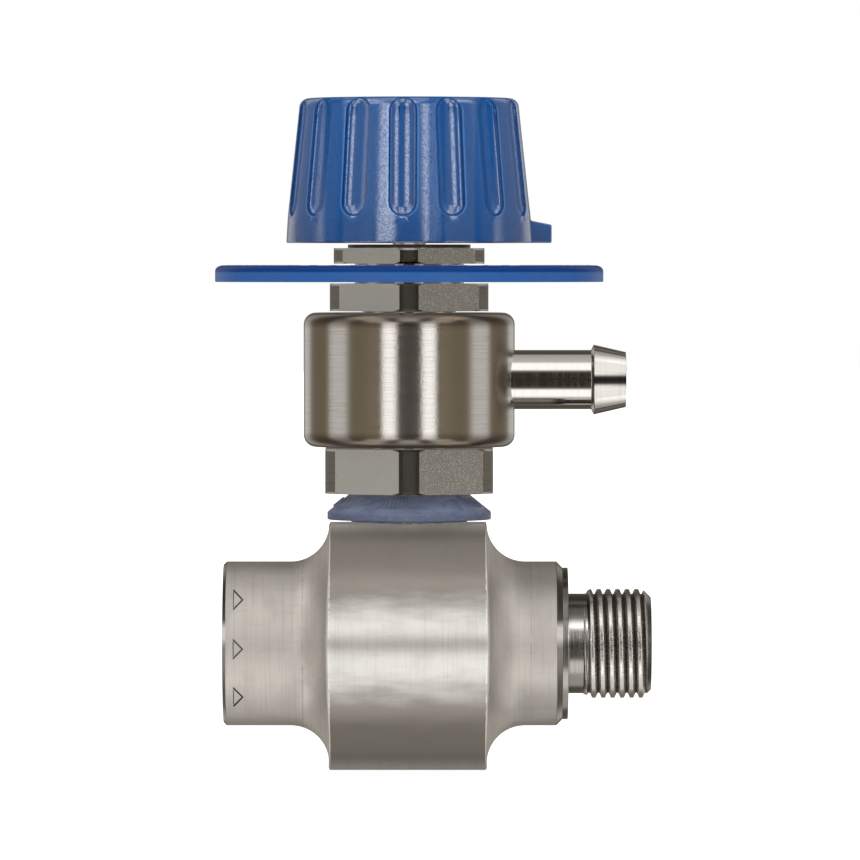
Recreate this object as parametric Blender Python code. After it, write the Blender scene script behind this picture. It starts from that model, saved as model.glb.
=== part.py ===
"""Chemical injector with a dosing valve: a stainless venturi body with a swivelling hose tail,
a metering needle turned by a fluted knob over a dial, and a sprung ball that stops back flow.

Sizes are in millimetres here and become metres when a mesh is made. The water runs along +X, the
valve stands on the body along +Z, and the origin is on the flat under the body, below the valve.
"""

from math import acos, asin, ceil, cos, hypot, pi, radians, sin, sqrt, tan

import bmesh
import bpy
from mathutils import Vector

MM = 0.001
WELD = 0.0005  # vertices this close are one vertex
GAP = 0.3  # between faces that seat on each other, and around a shaft in its bore
OVERRUN = 1.0  # how far a cutter runs past the face it opens
ROUND = 36  # sides of the large turned pieces
ROUND_SMALL = 20  # sides of the small ones
X_AXIS = Vector((1, 0, 0))
Z_AXIS = Vector((0, 0, 1))

# Driving dimensions: the pipe connection, the block and the two axes.
FLOW_AXIS_Z = 24.2
BARREL_R = 15.8
BLOCK_LEFT_X = -15.4
BLOCK_RIGHT_X = 14.9
BLOCK_HALF_DEPTH = 20.6
BLOCK_CORNER_R = 14.0
CROWN_HALF_ANGLE = radians(39.6)  # of the crowned front and back, up to the corners
SEAT_MILLING = 1.0  # taken off the top of the block under the valve
FILLET_R = 7.4
INLET_BARREL_LENGTH = 12.9
OUTLET_BARREL_LENGTH = 6.0

# G 1/2 pipe thread: outside the outlet, and the tapping size inside the inlet.
PIPE_CREST_R = 10.48
PIPE_ROOT_R = 9.5
PIPE_PITCH = 1.814
PIPE_TAPPING_R = 9.4
PIPE_THREAD_LENGTH = 12.7
THREAD_END_R = 8.9
THREAD_COLUMNS = 24
SOCKET_DEPTH = 15.0
SOCKET_CHAMFER = 1.2

# Outlet shoulder.
RIM_CHAMFER = 0.6
SHOULDER_CHAMFER = 1.1
LIP_R = BARREL_R - 1.2
LIP_WIDTH = 1.1
NECK_R = 9.6
NECK_LENGTH = 3.3

# Bores of the body.
NOZZLE_BORE_R = 6.3
DIFFUSER_BORE_R = 7.0
CHAMBER_LEFT_X = -5.0
PORT_R = 6.6
PORT_CHAMFER = 0.8

# O-rings, by the thickness of their cord.
ORING_CORD_R = 0.75
ORING_GROOVE_WIDTH = 2.4

# Jet nozzle and diffuser.
NOZZLE_FLANGE_R = PIPE_TAPPING_R - 0.8
NOZZLE_FLANGE_T = 2.5
NOZZLE_TIP_X = 1.5
NOZZLE_TIP_R = 2.6
NOZZLE_CONE_X = -6.5
NOZZLE_ENTRY_R = 4.2
NOZZLE_JET_R = 1.1
NOZZLE_JET_X = -10.0
NOZZLE_ORING_X = -13.7
DIFFUSER_INLET_X = 5.5
DIFFUSER_INLET_R = 4.8
DIFFUSER_THROAT_R = 1.5
DIFFUSER_THROAT_X = (11.0, 15.0)
DIFFUSER_OUTLET_R = 4.4
DIFFUSER_ORING_X = 20.0

# Profile seal under the valve.
SEAL_LAND_R = 11.2
SEAL_LAND_H = 0.4
SEAL_RIM_R = 15.75
SEAL_RIM_H = 1.5
SEAL_TOP_R = 11.65
SEAL_CONE_H = 3.3

# Hollow screw.
SCREW_HEX_AF = 32.2
SCREW_HEX_H = 8.6
SPIGOT_LENGTH = 19.3
STEM_R = 9.0
STEM_GROOVE_R = STEM_R - 1.4
STEM_GROOVE_WIDTH = 6.0
STEM_TOP_R = STEM_R - 2.0
STEM_TOP_LENGTH = 3.4
CROSS_HOLE_R = 2.0
SPINDLE_BORE_R = STEM_TOP_R - 1.7
PASSAGE_R = 1.6
VALVE_SEAT_DEPTH = 2.0
PASSAGE_BELOW_HOSE = 6.6
PASSAGE_LENGTH = 6.0

# Check valve in the hollow screw.
CHECK_BORE_R = PORT_R - 2.7
CHECK_SEAT_DEPTH = 2.0
BALL_R = CHECK_BORE_R - 0.9
BALL_TRAVEL = 1.5
SPRING_WIRE_R = 0.3
SPRING_COIL_R = BALL_R - 0.5
SPRING_LENGTH = 10.0
SPRING_TURNS = 5
SPRING_POINTS_PER_TURN = 10
RETAINER_T = 3.0
RETAINER_HOLE_R = 1.8

# Swivel ring and hose tail.
RING_R = 20.3
RING_H = 25.8
RING_EDGE_R = 2.3
RING_CHANNEL_R = STEM_R + 2.5
RING_CHANNEL_WIDTH = 7.2
SWIVEL_ORING_OFFSET = RING_H / 3
HOSE_TUBE_R = 5.7
HOSE_BARB_R = HOSE_TUBE_R + 1.03
HOSE_TIP_R = HOSE_TUBE_R - 0.4
HOSE_BORE_R = HOSE_TUBE_R - 2.2
HOSE_SPIGOT_R = HOSE_TUBE_R - 1.1
HOSE_SOCKET_DEPTH = 2.0
HOSE_TUBE_LENGTH = 14.7  # from the ring to the barb
HOSE_BARB_BACK = 0.5
HOSE_BARB_LENGTH = 6.2
HOSE_TIP_CHAMFER = 0.5

# Bonnet, dial and dial nut.
BONNET_HEX_AF = 30.4
BONNET_HEX_H = 5.3
BONNET_BOSS_R = 10.5
BONNET_SOCKET_DEPTH = 3.9
DIAL_R = 37.35
DIAL_T = 3.2
DIAL_BEVEL_W = 1.6
DIAL_BEVEL_H = 1.1
NUT_HEX_AF = 28.9
NUT_HEX_H = 3.0
NUT_COLLAR_R = BONNET_BOSS_R + 1.3
NUT_COLLAR_H = 0.7
BONNET_BOSS_H = 7.3
HEX_LAND_ANGLE = radians(6.4)  # half the width of the turned land on each corner
HEX_CHAMFER = 1.0

# Spindle.
SPINDLE_LEAD = 1.5  # rise for one turn
KNOB_TURN = radians(330)
NEEDLE_TIP_R = 0.6
NEEDLE_TIP_DROP = 4.0
NEEDLE_ROOT_R = 1.2
SPINDLE_NECK_R = SPINDLE_BORE_R - 2.3
SPINDLE_LAND_LENGTH = 10.5
SPINDLE_THREAD_R = SPINDLE_BORE_R - 0.9
SPINDLE_ORING_DROP = 6.0
DRIVE_R = SPINDLE_THREAD_R - 1.2
DRIVE_FLAT = DRIVE_R - 0.8
DRIVE_HOLE_R = DRIVE_R - 1.2
DRIVE_HOLE_DEPTH = 8.5

# Knob and what fastens it.
KNOB_BOTTOM_R = 23.65
KNOB_SKIRT_R = KNOB_BOTTOM_R - 0.3
KNOB_SKIRT_H = 5.1
KNOB_TOP_R = KNOB_BOTTOM_R - 2.5
KNOB_H = 27.8
KNOB_EDGE_R = 1.9
KNOB_WALL = 3.2
KNOB_ROOF = 4.7
KNOB_HUB_R = 8.8
KNOB_HUB_RISE = 1.0
FLUTE_COUNT = 15
FLUTE_PHASE = radians(-3)
FLUTE_HALF_ANGLE = radians(6.8)
FLUTE_DEPTH = 1.6
FLUTE_STEPS = 4  # columns across a flute
FLUTE_END_H = 2.2
POINTER_TIP_R = KNOB_BOTTOM_R + 3.75
POINTER_ROOT_R = KNOB_BOTTOM_R - 1.25
POINTER_ROOT_H = 4.6
POINTER_TIP_H = 3.5
POINTER_ROOT_W = 6.0
POINTER_TIP_W = 2.6
BUSH_R = DRIVE_R + 1.5
BUSH_RISE = 2.1
WELL_R = 7.0
WELL_DEPTH = 9.7
CAP_R = 9.0
CAP_T = 2.9
WASHER_R = WELL_R - 0.3
WASHER_T = 0.8
KNOB_SCREW_HEAD_R = 3.6
KNOB_SCREW_HEAD_H = 2.5
KNOB_SCREW_SHANK_R = DRIVE_HOLE_R - GAP
KNOB_SCREW_LENGTH = 10.9
KNOB_SCREW_SLOT = (0.9, 1.2)  # width and depth

# Heights and stations that follow from the sizes above.
SEAT_Z = 2 * FLOW_AXIS_Z - SEAT_MILLING
INLET_FACE_X = BLOCK_LEFT_X - FILLET_R - INLET_BARREL_LENGTH
SHOULDER_X = BLOCK_RIGHT_X + FILLET_R + OUTLET_BARREL_LENGTH
LIP_X = SHOULDER_X + SHOULDER_CHAMFER
NECK_X = LIP_X + LIP_WIDTH
THREAD_X = NECK_X + NECK_LENGTH
OUTLET_X = THREAD_X + PIPE_THREAD_LENGTH
SOCKET_END_X = INLET_FACE_X + SOCKET_DEPTH
SEAL_Z = SEAT_Z + GAP
SEAL_RIM_Z = SEAL_Z + SEAL_LAND_H
SEAL_TOP_Z = SEAL_RIM_Z + SEAL_RIM_H + SEAL_CONE_H
SCREW_HEX_Z = SEAL_TOP_Z + GAP
STEM_Z = SCREW_HEX_Z + SCREW_HEX_H
RING_Z = STEM_Z + GAP
RING_TOP_Z = RING_Z + RING_H
HOSE_Z = RING_Z + RING_H / 2
HOSE_SOCKET_X = RING_R - HOSE_SOCKET_DEPTH
HOSE_BARB_X = RING_R + HOSE_TUBE_LENGTH
STEM_TOP_Z = RING_TOP_Z + GAP
BONNET_Z = STEM_TOP_Z
BONNET_HEX_TOP_Z = BONNET_Z + BONNET_HEX_H
BONNET_TOP_Z = BONNET_HEX_TOP_Z + BONNET_BOSS_H
BONNET_SOCKET_Z = BONNET_Z + BONNET_SOCKET_DEPTH
DIAL_Z = BONNET_HEX_TOP_Z + GAP
NUT_Z = DIAL_Z + DIAL_T + GAP
NUT_TOP_Z = NUT_Z + NUT_HEX_H
COLLAR_TOP_Z = NUT_TOP_Z + NUT_COLLAR_H
KNOB_Z = COLLAR_TOP_Z + GAP
KNOB_TOP_Z = KNOB_Z + KNOB_H
PASSAGE_TOP_Z = HOSE_Z - PASSAGE_BELOW_HOSE
VALVE_SEAT_Z = PASSAGE_TOP_Z + VALVE_SEAT_DEPTH
CHECK_SEAT_Z = PASSAGE_TOP_Z - PASSAGE_LENGTH
SPINDLE_RISE = SPINDLE_LEAD * KNOB_TURN / (2 * pi)
SPINDLE_LAND_TOP_Z = BONNET_SOCKET_Z - GAP - SPINDLE_RISE
SPINDLE_ORING_Z = SPINDLE_LAND_TOP_Z - SPINDLE_ORING_DROP
DRIVE_Z = BONNET_TOP_Z
WELL_Z = KNOB_TOP_Z - WELL_DEPTH
DRIVE_TOP_Z = WELL_Z - 2.1
BUSH_Z = KNOB_Z + BUSH_RISE
BUSH_TOP_Z = WELL_Z - 2.3
CHECK_CONE_W = CHECK_BORE_R - PASSAGE_R
CHECK_APEX_Z = CHECK_SEAT_Z + PASSAGE_R * CHECK_SEAT_DEPTH / CHECK_CONE_W
BALL_DROP = (BALL_R + GAP) * hypot(CHECK_CONE_W, CHECK_SEAT_DEPTH) / CHECK_CONE_W
BALL_Z = CHECK_APEX_Z - BALL_DROP
SPRING_TOP_Z = BALL_Z - BALL_R - GAP
SPRING_BOTTOM_Z = SPRING_TOP_Z - SPRING_LENGTH
FLOW_CENTRE = Vector((0, 0, FLOW_AXIS_Z))
HOSE_CENTRE = Vector((0, 0, HOSE_Z))


# Materials.


def finish(name, colour, metallic, roughness):
    """A plain Principled finish."""
    material = bpy.data.materials.new(name)
    material.use_nodes = True
    shader = material.node_tree.nodes["Principled BSDF"]
    shader.inputs["Base Color"].default_value = (*colour, 1)
    shader.inputs["Metallic"].default_value = metallic
    shader.inputs["Roughness"].default_value = roughness
    return material


# Making solids.


def add_object(name, bm, material, origin=(0, 0, 0)):
    """An object in metres from a bmesh in millimetres, with its own origin at the given point."""
    bmesh.ops.remove_doubles(bm, verts=bm.verts, dist=WELD)
    bmesh.ops.recalc_face_normals(bm, faces=bm.faces)
    bmesh.ops.translate(bm, verts=bm.verts, vec=-Vector(origin))
    bmesh.ops.scale(bm, verts=bm.verts, vec=(MM, MM, MM))
    mesh = bpy.data.meshes.new(name)
    bm.to_mesh(mesh)
    bm.free()
    mesh.shade_smooth()
    mesh.set_sharp_from_angle(angle=radians(30))
    obj = bpy.data.objects.new(name, mesh)
    obj.location = Vector(origin) * MM
    obj.data.materials.append(material)
    bpy.context.scene.collection.objects.link(obj)
    return obj


def as_tool(obj):
    """Marks an object as a shape that only cuts or trims another."""
    obj.hide_render = True
    obj.display_type = "WIRE"
    return obj


def apply_tool(obj, tool, operation):
    modifier = obj.modifiers.new(f"{operation.lower()}_{tool.name}", "BOOLEAN")
    modifier.operation = operation
    modifier.object = as_tool(tool)
    return obj


def turned(name, outline, material, axis=Z_AXIS, centre=(0, 0, 0), origin=None, steps=ROUND):
    """A solid of revolution. The outline holds (along, radius) points, and is closed on itself
    or, where it starts and ends on the axis, along the axis."""
    bm = bmesh.new()
    radial = Vector((0, 1, 0))
    centre = Vector(centre)
    points = [bm.verts.new(centre + axis * along + radial * radius) for along, radius in outline]
    on_axis = outline[0][1] == 0 and outline[-1][1] == 0
    pairs = list(zip(points, points[1:])) + ([] if on_axis else [(points[-1], points[0])])
    edges = [bm.edges.new(pair) for pair in pairs]
    bmesh.ops.spin(
        bm,
        geom=points + edges,
        cent=centre,
        axis=axis,
        angle=2 * pi,
        steps=steps,
        use_merge=True,
    )
    return add_object(name, bm, material, centre if origin is None else origin)


def prism(name, outline, material, start, length, axis=Z_AXIS):
    """A prism with the given outline of (u, v) points, along Z (u, v = x, y) or X (u, v = y, z)."""
    bm = bmesh.new()
    if axis == Z_AXIS:
        corners = [Vector((u, v, start)) for u, v in outline]
    else:
        corners = [Vector((start, u, v)) for u, v in outline]
    face = bm.faces.new([bm.verts.new(corner) for corner in corners])
    extruded = bmesh.ops.extrude_face_region(bm, geom=[face])["geom"]
    moved = [item for item in extruded if isinstance(item, bmesh.types.BMVert)]
    bmesh.ops.translate(bm, verts=moved, vec=axis * length)
    return add_object(name, bm, material)


def skin(bm, rings):
    """Bridges rings of equal point counts into one closed surface and closes its two ends."""
    loops = [[bm.verts.new(point) for point in ring] for ring in rings]
    for lower, upper in zip(loops, loops[1:]):
        for index, vert in enumerate(lower):
            after = (index + 1) % len(lower)
            bm.faces.new((vert, lower[after], upper[after], upper[index]))
    bm.faces.new(loops[0][::-1])
    bm.faces.new(loops[-1])
    return loops


def arc(centre, radius, start, end, steps):
    """Points on a circular arc, as (along, radius) pairs, from one angle to another."""
    angles = [start + (end - start) * step / steps for step in range(steps + 1)]
    return [(centre[0] + radius * cos(a), centre[1] + radius * sin(a)) for a in angles]


def hexagon(across_flats):
    """The corners of a hexagon that has one corner towards -Y."""
    corner_r = across_flats / sqrt(3)
    return [(corner_r * sin(radians(60 * k)), -corner_r * cos(radians(60 * k))) for k in range(6)]


def hex_blank_r(across_flats):
    """The radius to which a hexagon's corners are turned, which leaves a land on each corner."""
    return across_flats / 2 / cos(radians(30) - HEX_LAND_ANGLE)


def hex_flange(across_flats, bottom, top):
    """The outer outline of a hexagon before its flats are cut: a disc with both edges chamfered."""
    blank_r = hex_blank_r(across_flats)
    slope = HEX_CHAMFER / tan(radians(60))
    return [
        (bottom, blank_r - HEX_CHAMFER),
        (bottom + slope, blank_r),
        (top - slope, blank_r),
        (top, blank_r - HEX_CHAMFER),
    ]


def cut_hex(obj, across_flats, bottom, top):
    """Cuts the flats of a hexagon on a turned piece, whose other radii lie inside them."""
    tool = prism(
        f"{obj.name}_flats", hexagon(across_flats), obj.data.materials[0], bottom, top - bottom
    )
    return apply_tool(obj, tool, "INTERSECT")


def groove(position, floor_r, surface_r, width=ORING_GROOVE_WIDTH):
    """The outline of a groove in a turned surface, in the direction of growing position."""
    left, right = position - width / 2, position + width / 2
    return [(left, surface_r), (left, floor_r), (right, floor_r), (right, surface_r)]


def oring(name, position, bore_r, material, axis=Z_AXIS, centre=(0, 0, 0), cord_r=ORING_CORD_R):
    """A ring of round cord that lies just inside the given bore."""
    middle_r = bore_r - GAP - cord_r
    cord = arc((position, middle_r), cord_r, 0, radians(300), 5)
    return turned(name, cord, material, axis, centre, steps=ROUND_SMALL)


def oring_floor(bore_r, cord_r=ORING_CORD_R):
    """The radius of the groove that holds such a ring."""
    return bore_r - 2 * GAP - 2 * cord_r


def pipe_thread_stud(name, start, end, material):
    """A solid stud along the flow axis with a helical thread, which fades in and out at its ends."""
    tooth = ((0, PIPE_ROOT_R), (0.4, PIPE_CREST_R), (0.6, PIPE_CREST_R))
    columns = THREAD_COLUMNS
    turns = ceil((end - start) / PIPE_PITCH) + 4
    bm = bmesh.new()

    def vertex(column, row):
        share, radius = tooth[row % len(tooth)]
        along = start + (row // len(tooth) - 2 + share + column / columns) * PIPE_PITCH
        along = min(max(along, start), end)
        fade = min(1, (along - start) / PIPE_PITCH)
        radius = PIPE_ROOT_R + (radius - PIPE_ROOT_R) * fade
        radius = min(radius, THREAD_END_R + (end - along))
        angle = 2 * pi * column / columns
        return bm.verts.new(
            FLOW_CENTRE + Vector((along, radius * cos(angle), radius * sin(angle)))
        )

    rows = turns * len(tooth)
    grid = [[vertex(column, row) for row in range(rows)] for column in range(columns)]
    for column in range(columns):
        shift = len(tooth) if column == columns - 1 else 0
        beside = grid[(column + 1) % columns]
        for row in range(rows - 1 - shift):
            bm.faces.new(
                (
                    grid[column][row],
                    grid[column][row + 1],
                    beside[row + 1 + shift],
                    beside[row + shift],
                )
            )
    bm.faces.new([grid[column][0] for column in range(columns)])
    bm.faces.new([grid[column][-1] for column in range(columns)])
    return add_object(name, bm, material, FLOW_CENTRE)


# The injector.


def block_outline():
    """The section of the bar: crowned front and back, rounded corners, milled flat on top."""
    blend = CROWN_HALF_ANGLE
    centre_z = FLOW_AXIS_Z - BLOCK_CORNER_R
    reach = centre_z / sin(blend)
    crown_r = BLOCK_CORNER_R + reach
    crown_y = BLOCK_HALF_DEPTH - crown_r
    centre_y = crown_y + reach * cos(blend)
    milled_angle = asin((SEAT_Z - FLOW_AXIS_Z - centre_z) / BLOCK_CORNER_R)
    bottom = arc((centre_y, BLOCK_CORNER_R), BLOCK_CORNER_R, radians(-90), -blend, 4)
    crown = arc((crown_y, FLOW_AXIS_Z), crown_r, -blend, blend, 8)
    top = arc((centre_y, FLOW_AXIS_Z + centre_z), BLOCK_CORNER_R, blend, milled_angle, 3)
    right = bottom + crown[1:-1] + top
    return right + [(-u, v) for u, v in reversed(right)]


def injector_body(steel):
    swing_r = 2 * BLOCK_HALF_DEPTH
    fillet_z = BARREL_R + FILLET_R
    outline = [
        (INLET_FACE_X, 0),
        (INLET_FACE_X, BARREL_R - RIM_CHAMFER),
        (INLET_FACE_X + RIM_CHAMFER, BARREL_R),
        *arc((BLOCK_LEFT_X - FILLET_R, fillet_z), FILLET_R, radians(-90), 0, 6),
        (BLOCK_LEFT_X, swing_r),
        (BLOCK_RIGHT_X, swing_r),
        *arc((BLOCK_RIGHT_X + FILLET_R, fillet_z), FILLET_R, radians(180), radians(270), 6),
        (SHOULDER_X, BARREL_R),
        (LIP_X, BARREL_R - SHOULDER_CHAMFER),
        (LIP_X, LIP_R),
        (NECK_X, LIP_R),
        (NECK_X, NECK_R),
        (THREAD_X, NECK_R),
        (THREAD_X, 0),
    ]
    body = turned("injector_body", outline, steel, X_AXIS, FLOW_CENTRE)
    reach_x = OUTLET_X - INLET_FACE_X + 2 * OVERRUN
    bar = prism("body_bar", block_outline(), steel, INLET_FACE_X - OVERRUN, reach_x, X_AXIS)
    apply_tool(body, bar, "INTERSECT")
    stud = pipe_thread_stud("body_thread", THREAD_X - NECK_LENGTH / 2, OUTLET_X, steel)
    apply_tool(body, stud, "UNION")
    bore = [
        (INLET_FACE_X - OVERRUN, 0),
        (INLET_FACE_X - OVERRUN, PIPE_TAPPING_R + SOCKET_CHAMFER + OVERRUN),
        (INLET_FACE_X + SOCKET_CHAMFER, PIPE_TAPPING_R),
        (SOCKET_END_X, PIPE_TAPPING_R),
        (SOCKET_END_X, NOZZLE_BORE_R),
        (CHAMBER_LEFT_X, NOZZLE_BORE_R),
        (CHAMBER_LEFT_X, DIFFUSER_BORE_R),
        (OUTLET_X + OVERRUN, DIFFUSER_BORE_R),
        (OUTLET_X + OVERRUN, 0),
    ]
    apply_tool(body, turned("body_bore", bore, steel, X_AXIS, FLOW_CENTRE), "DIFFERENCE")
    port = [
        (FLOW_AXIS_Z, 0),
        (FLOW_AXIS_Z, PORT_R),
        (SEAT_Z - PORT_CHAMFER, PORT_R),
        (SEAT_Z + OVERRUN, PORT_R + PORT_CHAMFER + OVERRUN),
        (SEAT_Z + OVERRUN, 0),
    ]
    apply_tool(body, turned("body_port", port, steel, steps=ROUND_SMALL), "DIFFERENCE")
    return body


def jet_nozzle(steel):
    shank_r = NOZZLE_BORE_R - GAP
    flange_end_x = SOCKET_END_X - GAP
    outline = [
        (flange_end_x - NOZZLE_FLANGE_T, NOZZLE_ENTRY_R),
        (flange_end_x - NOZZLE_FLANGE_T, NOZZLE_FLANGE_R),
        (flange_end_x, NOZZLE_FLANGE_R),
        (flange_end_x, shank_r),
        *groove(NOZZLE_ORING_X, oring_floor(NOZZLE_BORE_R), shank_r),
        (NOZZLE_CONE_X, shank_r),
        (NOZZLE_TIP_X, NOZZLE_TIP_R),
        (NOZZLE_TIP_X, NOZZLE_JET_R),
        (NOZZLE_JET_X, NOZZLE_JET_R),
    ]
    return turned("jet_nozzle", outline, steel, X_AXIS, FLOW_CENTRE, steps=ROUND_SMALL)


def diffuser_tube(steel):
    outer_r = DIFFUSER_BORE_R - GAP
    outlet_x = OUTLET_X - GAP
    outline = [
        (DIFFUSER_INLET_X, DIFFUSER_INLET_R),
        (DIFFUSER_INLET_X, outer_r),
        *groove(DIFFUSER_ORING_X, oring_floor(DIFFUSER_BORE_R), outer_r),
        (outlet_x, outer_r),
        (outlet_x, DIFFUSER_OUTLET_R),
        (DIFFUSER_THROAT_X[1], DIFFUSER_THROAT_R),
        (DIFFUSER_THROAT_X[0], DIFFUSER_THROAT_R),
    ]
    return turned("diffuser_tube", outline, steel, X_AXIS, FLOW_CENTRE, steps=ROUND_SMALL)


def profile_seal(elastomer):
    bore_r = PORT_R + GAP
    rim_top_z = SEAL_RIM_Z + SEAL_RIM_H
    outline = [
        (SEAL_Z, bore_r),
        (SEAL_Z, SEAL_LAND_R),
        (SEAL_RIM_Z, SEAL_LAND_R),
        (SEAL_RIM_Z, SEAL_RIM_R),
        (rim_top_z, SEAL_RIM_R),
        (SEAL_TOP_Z, SEAL_TOP_R),
        (SEAL_TOP_Z, bore_r),
    ]
    return turned("profile_seal", outline, elastomer)


# The hollow screw and its check valve.


def swivel_oring_heights():
    return (HOSE_Z - SWIVEL_ORING_OFFSET, HOSE_Z + SWIVEL_ORING_OFFSET)


def hollow_screw(steel):
    lower_z, upper_z = swivel_oring_heights()
    floor_r = oring_floor(STEM_R + GAP)
    spigot_r = PORT_R - GAP
    bottom_z = SCREW_HEX_Z - SPIGOT_LENGTH
    top_z = STEM_TOP_Z + STEM_TOP_LENGTH
    outline = [
        (bottom_z, CHECK_BORE_R),
        (bottom_z, spigot_r),
        (SCREW_HEX_Z, spigot_r),
        *hex_flange(SCREW_HEX_AF, SCREW_HEX_Z, STEM_Z),
        (STEM_Z, STEM_R),
        *groove(lower_z, floor_r, STEM_R),
        *groove(HOSE_Z, STEM_GROOVE_R, STEM_R, STEM_GROOVE_WIDTH),
        *groove(upper_z, floor_r, STEM_R),
        (STEM_TOP_Z, STEM_R),
        (STEM_TOP_Z, STEM_TOP_R),
        (top_z, STEM_TOP_R),
        (top_z, SPINDLE_BORE_R),
        (VALVE_SEAT_Z, SPINDLE_BORE_R),
        (PASSAGE_TOP_Z, PASSAGE_R),
        (CHECK_SEAT_Z, PASSAGE_R),
        (CHECK_SEAT_Z - CHECK_SEAT_DEPTH, CHECK_BORE_R),
    ]
    screw = turned("hollow_screw", outline, steel, steps=ROUND)
    cut_hex(screw, SCREW_HEX_AF, bottom_z - OVERRUN, top_z + OVERRUN)
    reach = STEM_R + OVERRUN
    hole = [(-reach, 0), (-reach, CROSS_HOLE_R), (reach, CROSS_HOLE_R), (reach, 0)]
    for name, turn in (("cross_hole_x", 0), ("cross_hole_y", radians(90))):
        tool = turned(name, hole, steel, X_AXIS, HOSE_CENTRE, steps=12)
        tool.rotation_euler.z = turn
        apply_tool(screw, tool, "DIFFERENCE")
    return screw


def check_ball(steel):
    steps = 8
    outline = [
        (BALL_Z + BALL_R * cos(pi * k / steps), BALL_R * sin(pi * k / steps) if k % steps else 0)
        for k in range(steps, -1, -1)
    ]
    origin = (0, 0, BALL_Z)
    return turned("check_ball", outline, steel, origin=origin, steps=ROUND_SMALL)


def check_spring(steel):
    curve = bpy.data.curves.new("check_spring", "CURVE")
    curve.dimensions = "3D"
    curve.bevel_depth = SPRING_WIRE_R * MM
    curve.bevel_resolution = 1
    curve.use_fill_caps = True
    count = SPRING_TURNS * SPRING_POINTS_PER_TURN + 1
    line = curve.splines.new("POLY")
    line.points.add(count - 1)
    coil_bottom_z = SPRING_BOTTOM_Z + SPRING_WIRE_R
    coil_rise = SPRING_LENGTH - 2 * SPRING_WIRE_R
    for index, point in enumerate(line.points):
        angle = 2 * pi * index / SPRING_POINTS_PER_TURN
        height = coil_bottom_z + coil_rise * index / (count - 1)
        point.co = (
            SPRING_COIL_R * cos(angle) * MM,
            SPRING_COIL_R * sin(angle) * MM,
            height * MM,
            1,
        )
    spring = bpy.data.objects.new("check_spring", curve)
    curve.materials.append(steel)
    bpy.context.scene.collection.objects.link(spring)
    return spring


def spring_retainer(steel):
    top_z = SPRING_BOTTOM_Z - GAP
    outer_r = CHECK_BORE_R - GAP
    outline = [
        (top_z - RETAINER_T, RETAINER_HOLE_R),
        (top_z - RETAINER_T, outer_r),
        (top_z, outer_r),
        (top_z, RETAINER_HOLE_R),
    ]
    return turned("spring_retainer", outline, steel, steps=ROUND_SMALL)


# The swivelling ring and the hose tail.


def banjo_ring(steel):
    bore_r = STEM_R + GAP
    channel_low, channel_high = (HOSE_Z + side * RING_CHANNEL_WIDTH / 2 for side in (-1, 1))
    low_centre = (RING_Z + RING_EDGE_R, RING_R - RING_EDGE_R)
    high_centre = (RING_TOP_Z - RING_EDGE_R, RING_R - RING_EDGE_R)
    outline = [
        (RING_Z, bore_r),
        *arc(low_centre, RING_EDGE_R, radians(180), radians(90), 4),
        *arc(high_centre, RING_EDGE_R, radians(90), 0, 4),
        (RING_TOP_Z, bore_r),
        (channel_high, bore_r),
        (channel_high, RING_CHANNEL_R),
        (channel_low, RING_CHANNEL_R),
        (channel_low, bore_r),
    ]
    ring = turned("banjo_ring", outline, steel, origin=HOSE_CENTRE)
    socket = [
        (0, 0),
        (0, HOSE_SPIGOT_R + GAP),
        (HOSE_SOCKET_X, HOSE_SPIGOT_R + GAP),
        (HOSE_SOCKET_X, HOSE_TUBE_R + GAP),
        (RING_R + OVERRUN, HOSE_TUBE_R + GAP),
        (RING_R + OVERRUN, 0),
    ]
    tool = turned("hose_socket", socket, steel, X_AXIS, HOSE_CENTRE, steps=ROUND_SMALL)
    return apply_tool(ring, tool, "DIFFERENCE")


def hose_barb(steel):
    spigot_x = RING_CHANNEL_R + GAP
    tube_x = HOSE_SOCKET_X + GAP
    barb_x = HOSE_BARB_X + HOSE_BARB_BACK
    tip_x = barb_x + HOSE_BARB_LENGTH
    outline = [
        (spigot_x, HOSE_BORE_R),
        (spigot_x, HOSE_SPIGOT_R),
        (tube_x, HOSE_SPIGOT_R),
        (tube_x, HOSE_TUBE_R),
        (HOSE_BARB_X, HOSE_TUBE_R),
        (barb_x, HOSE_BARB_R),
        (tip_x, HOSE_TIP_R),
        (tip_x, HOSE_BORE_R + HOSE_TIP_CHAMFER),
        (tip_x - HOSE_TIP_CHAMFER, HOSE_BORE_R),
    ]
    return turned("hose_barb", outline, steel, X_AXIS, HOSE_CENTRE, steps=ROUND_SMALL)


# The bonnet, the dial and the dial nut.


def valve_bonnet(steel):
    socket_r = STEM_TOP_R + GAP
    thread_r = SPINDLE_THREAD_R + GAP
    outline = [
        (BONNET_Z, socket_r),
        *hex_flange(BONNET_HEX_AF, BONNET_Z, BONNET_HEX_TOP_Z),
        (BONNET_HEX_TOP_Z, BONNET_BOSS_R),
        (BONNET_TOP_Z, BONNET_BOSS_R),
        (BONNET_TOP_Z, thread_r),
        (BONNET_SOCKET_Z, thread_r),
        (BONNET_SOCKET_Z, socket_r),
    ]
    bonnet = turned("valve_bonnet", outline, steel)
    return cut_hex(bonnet, BONNET_HEX_AF, BONNET_Z - OVERRUN, BONNET_TOP_Z + OVERRUN)


def scale_dial(plastic):
    bore_r = BONNET_BOSS_R + GAP
    top_z = DIAL_Z + DIAL_T
    outline = [
        (DIAL_Z, bore_r),
        (DIAL_Z, DIAL_R),
        (top_z - DIAL_BEVEL_H, DIAL_R),
        (top_z, DIAL_R - DIAL_BEVEL_W),
        (top_z, bore_r),
    ]
    return turned("scale_dial", outline, plastic)


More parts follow.
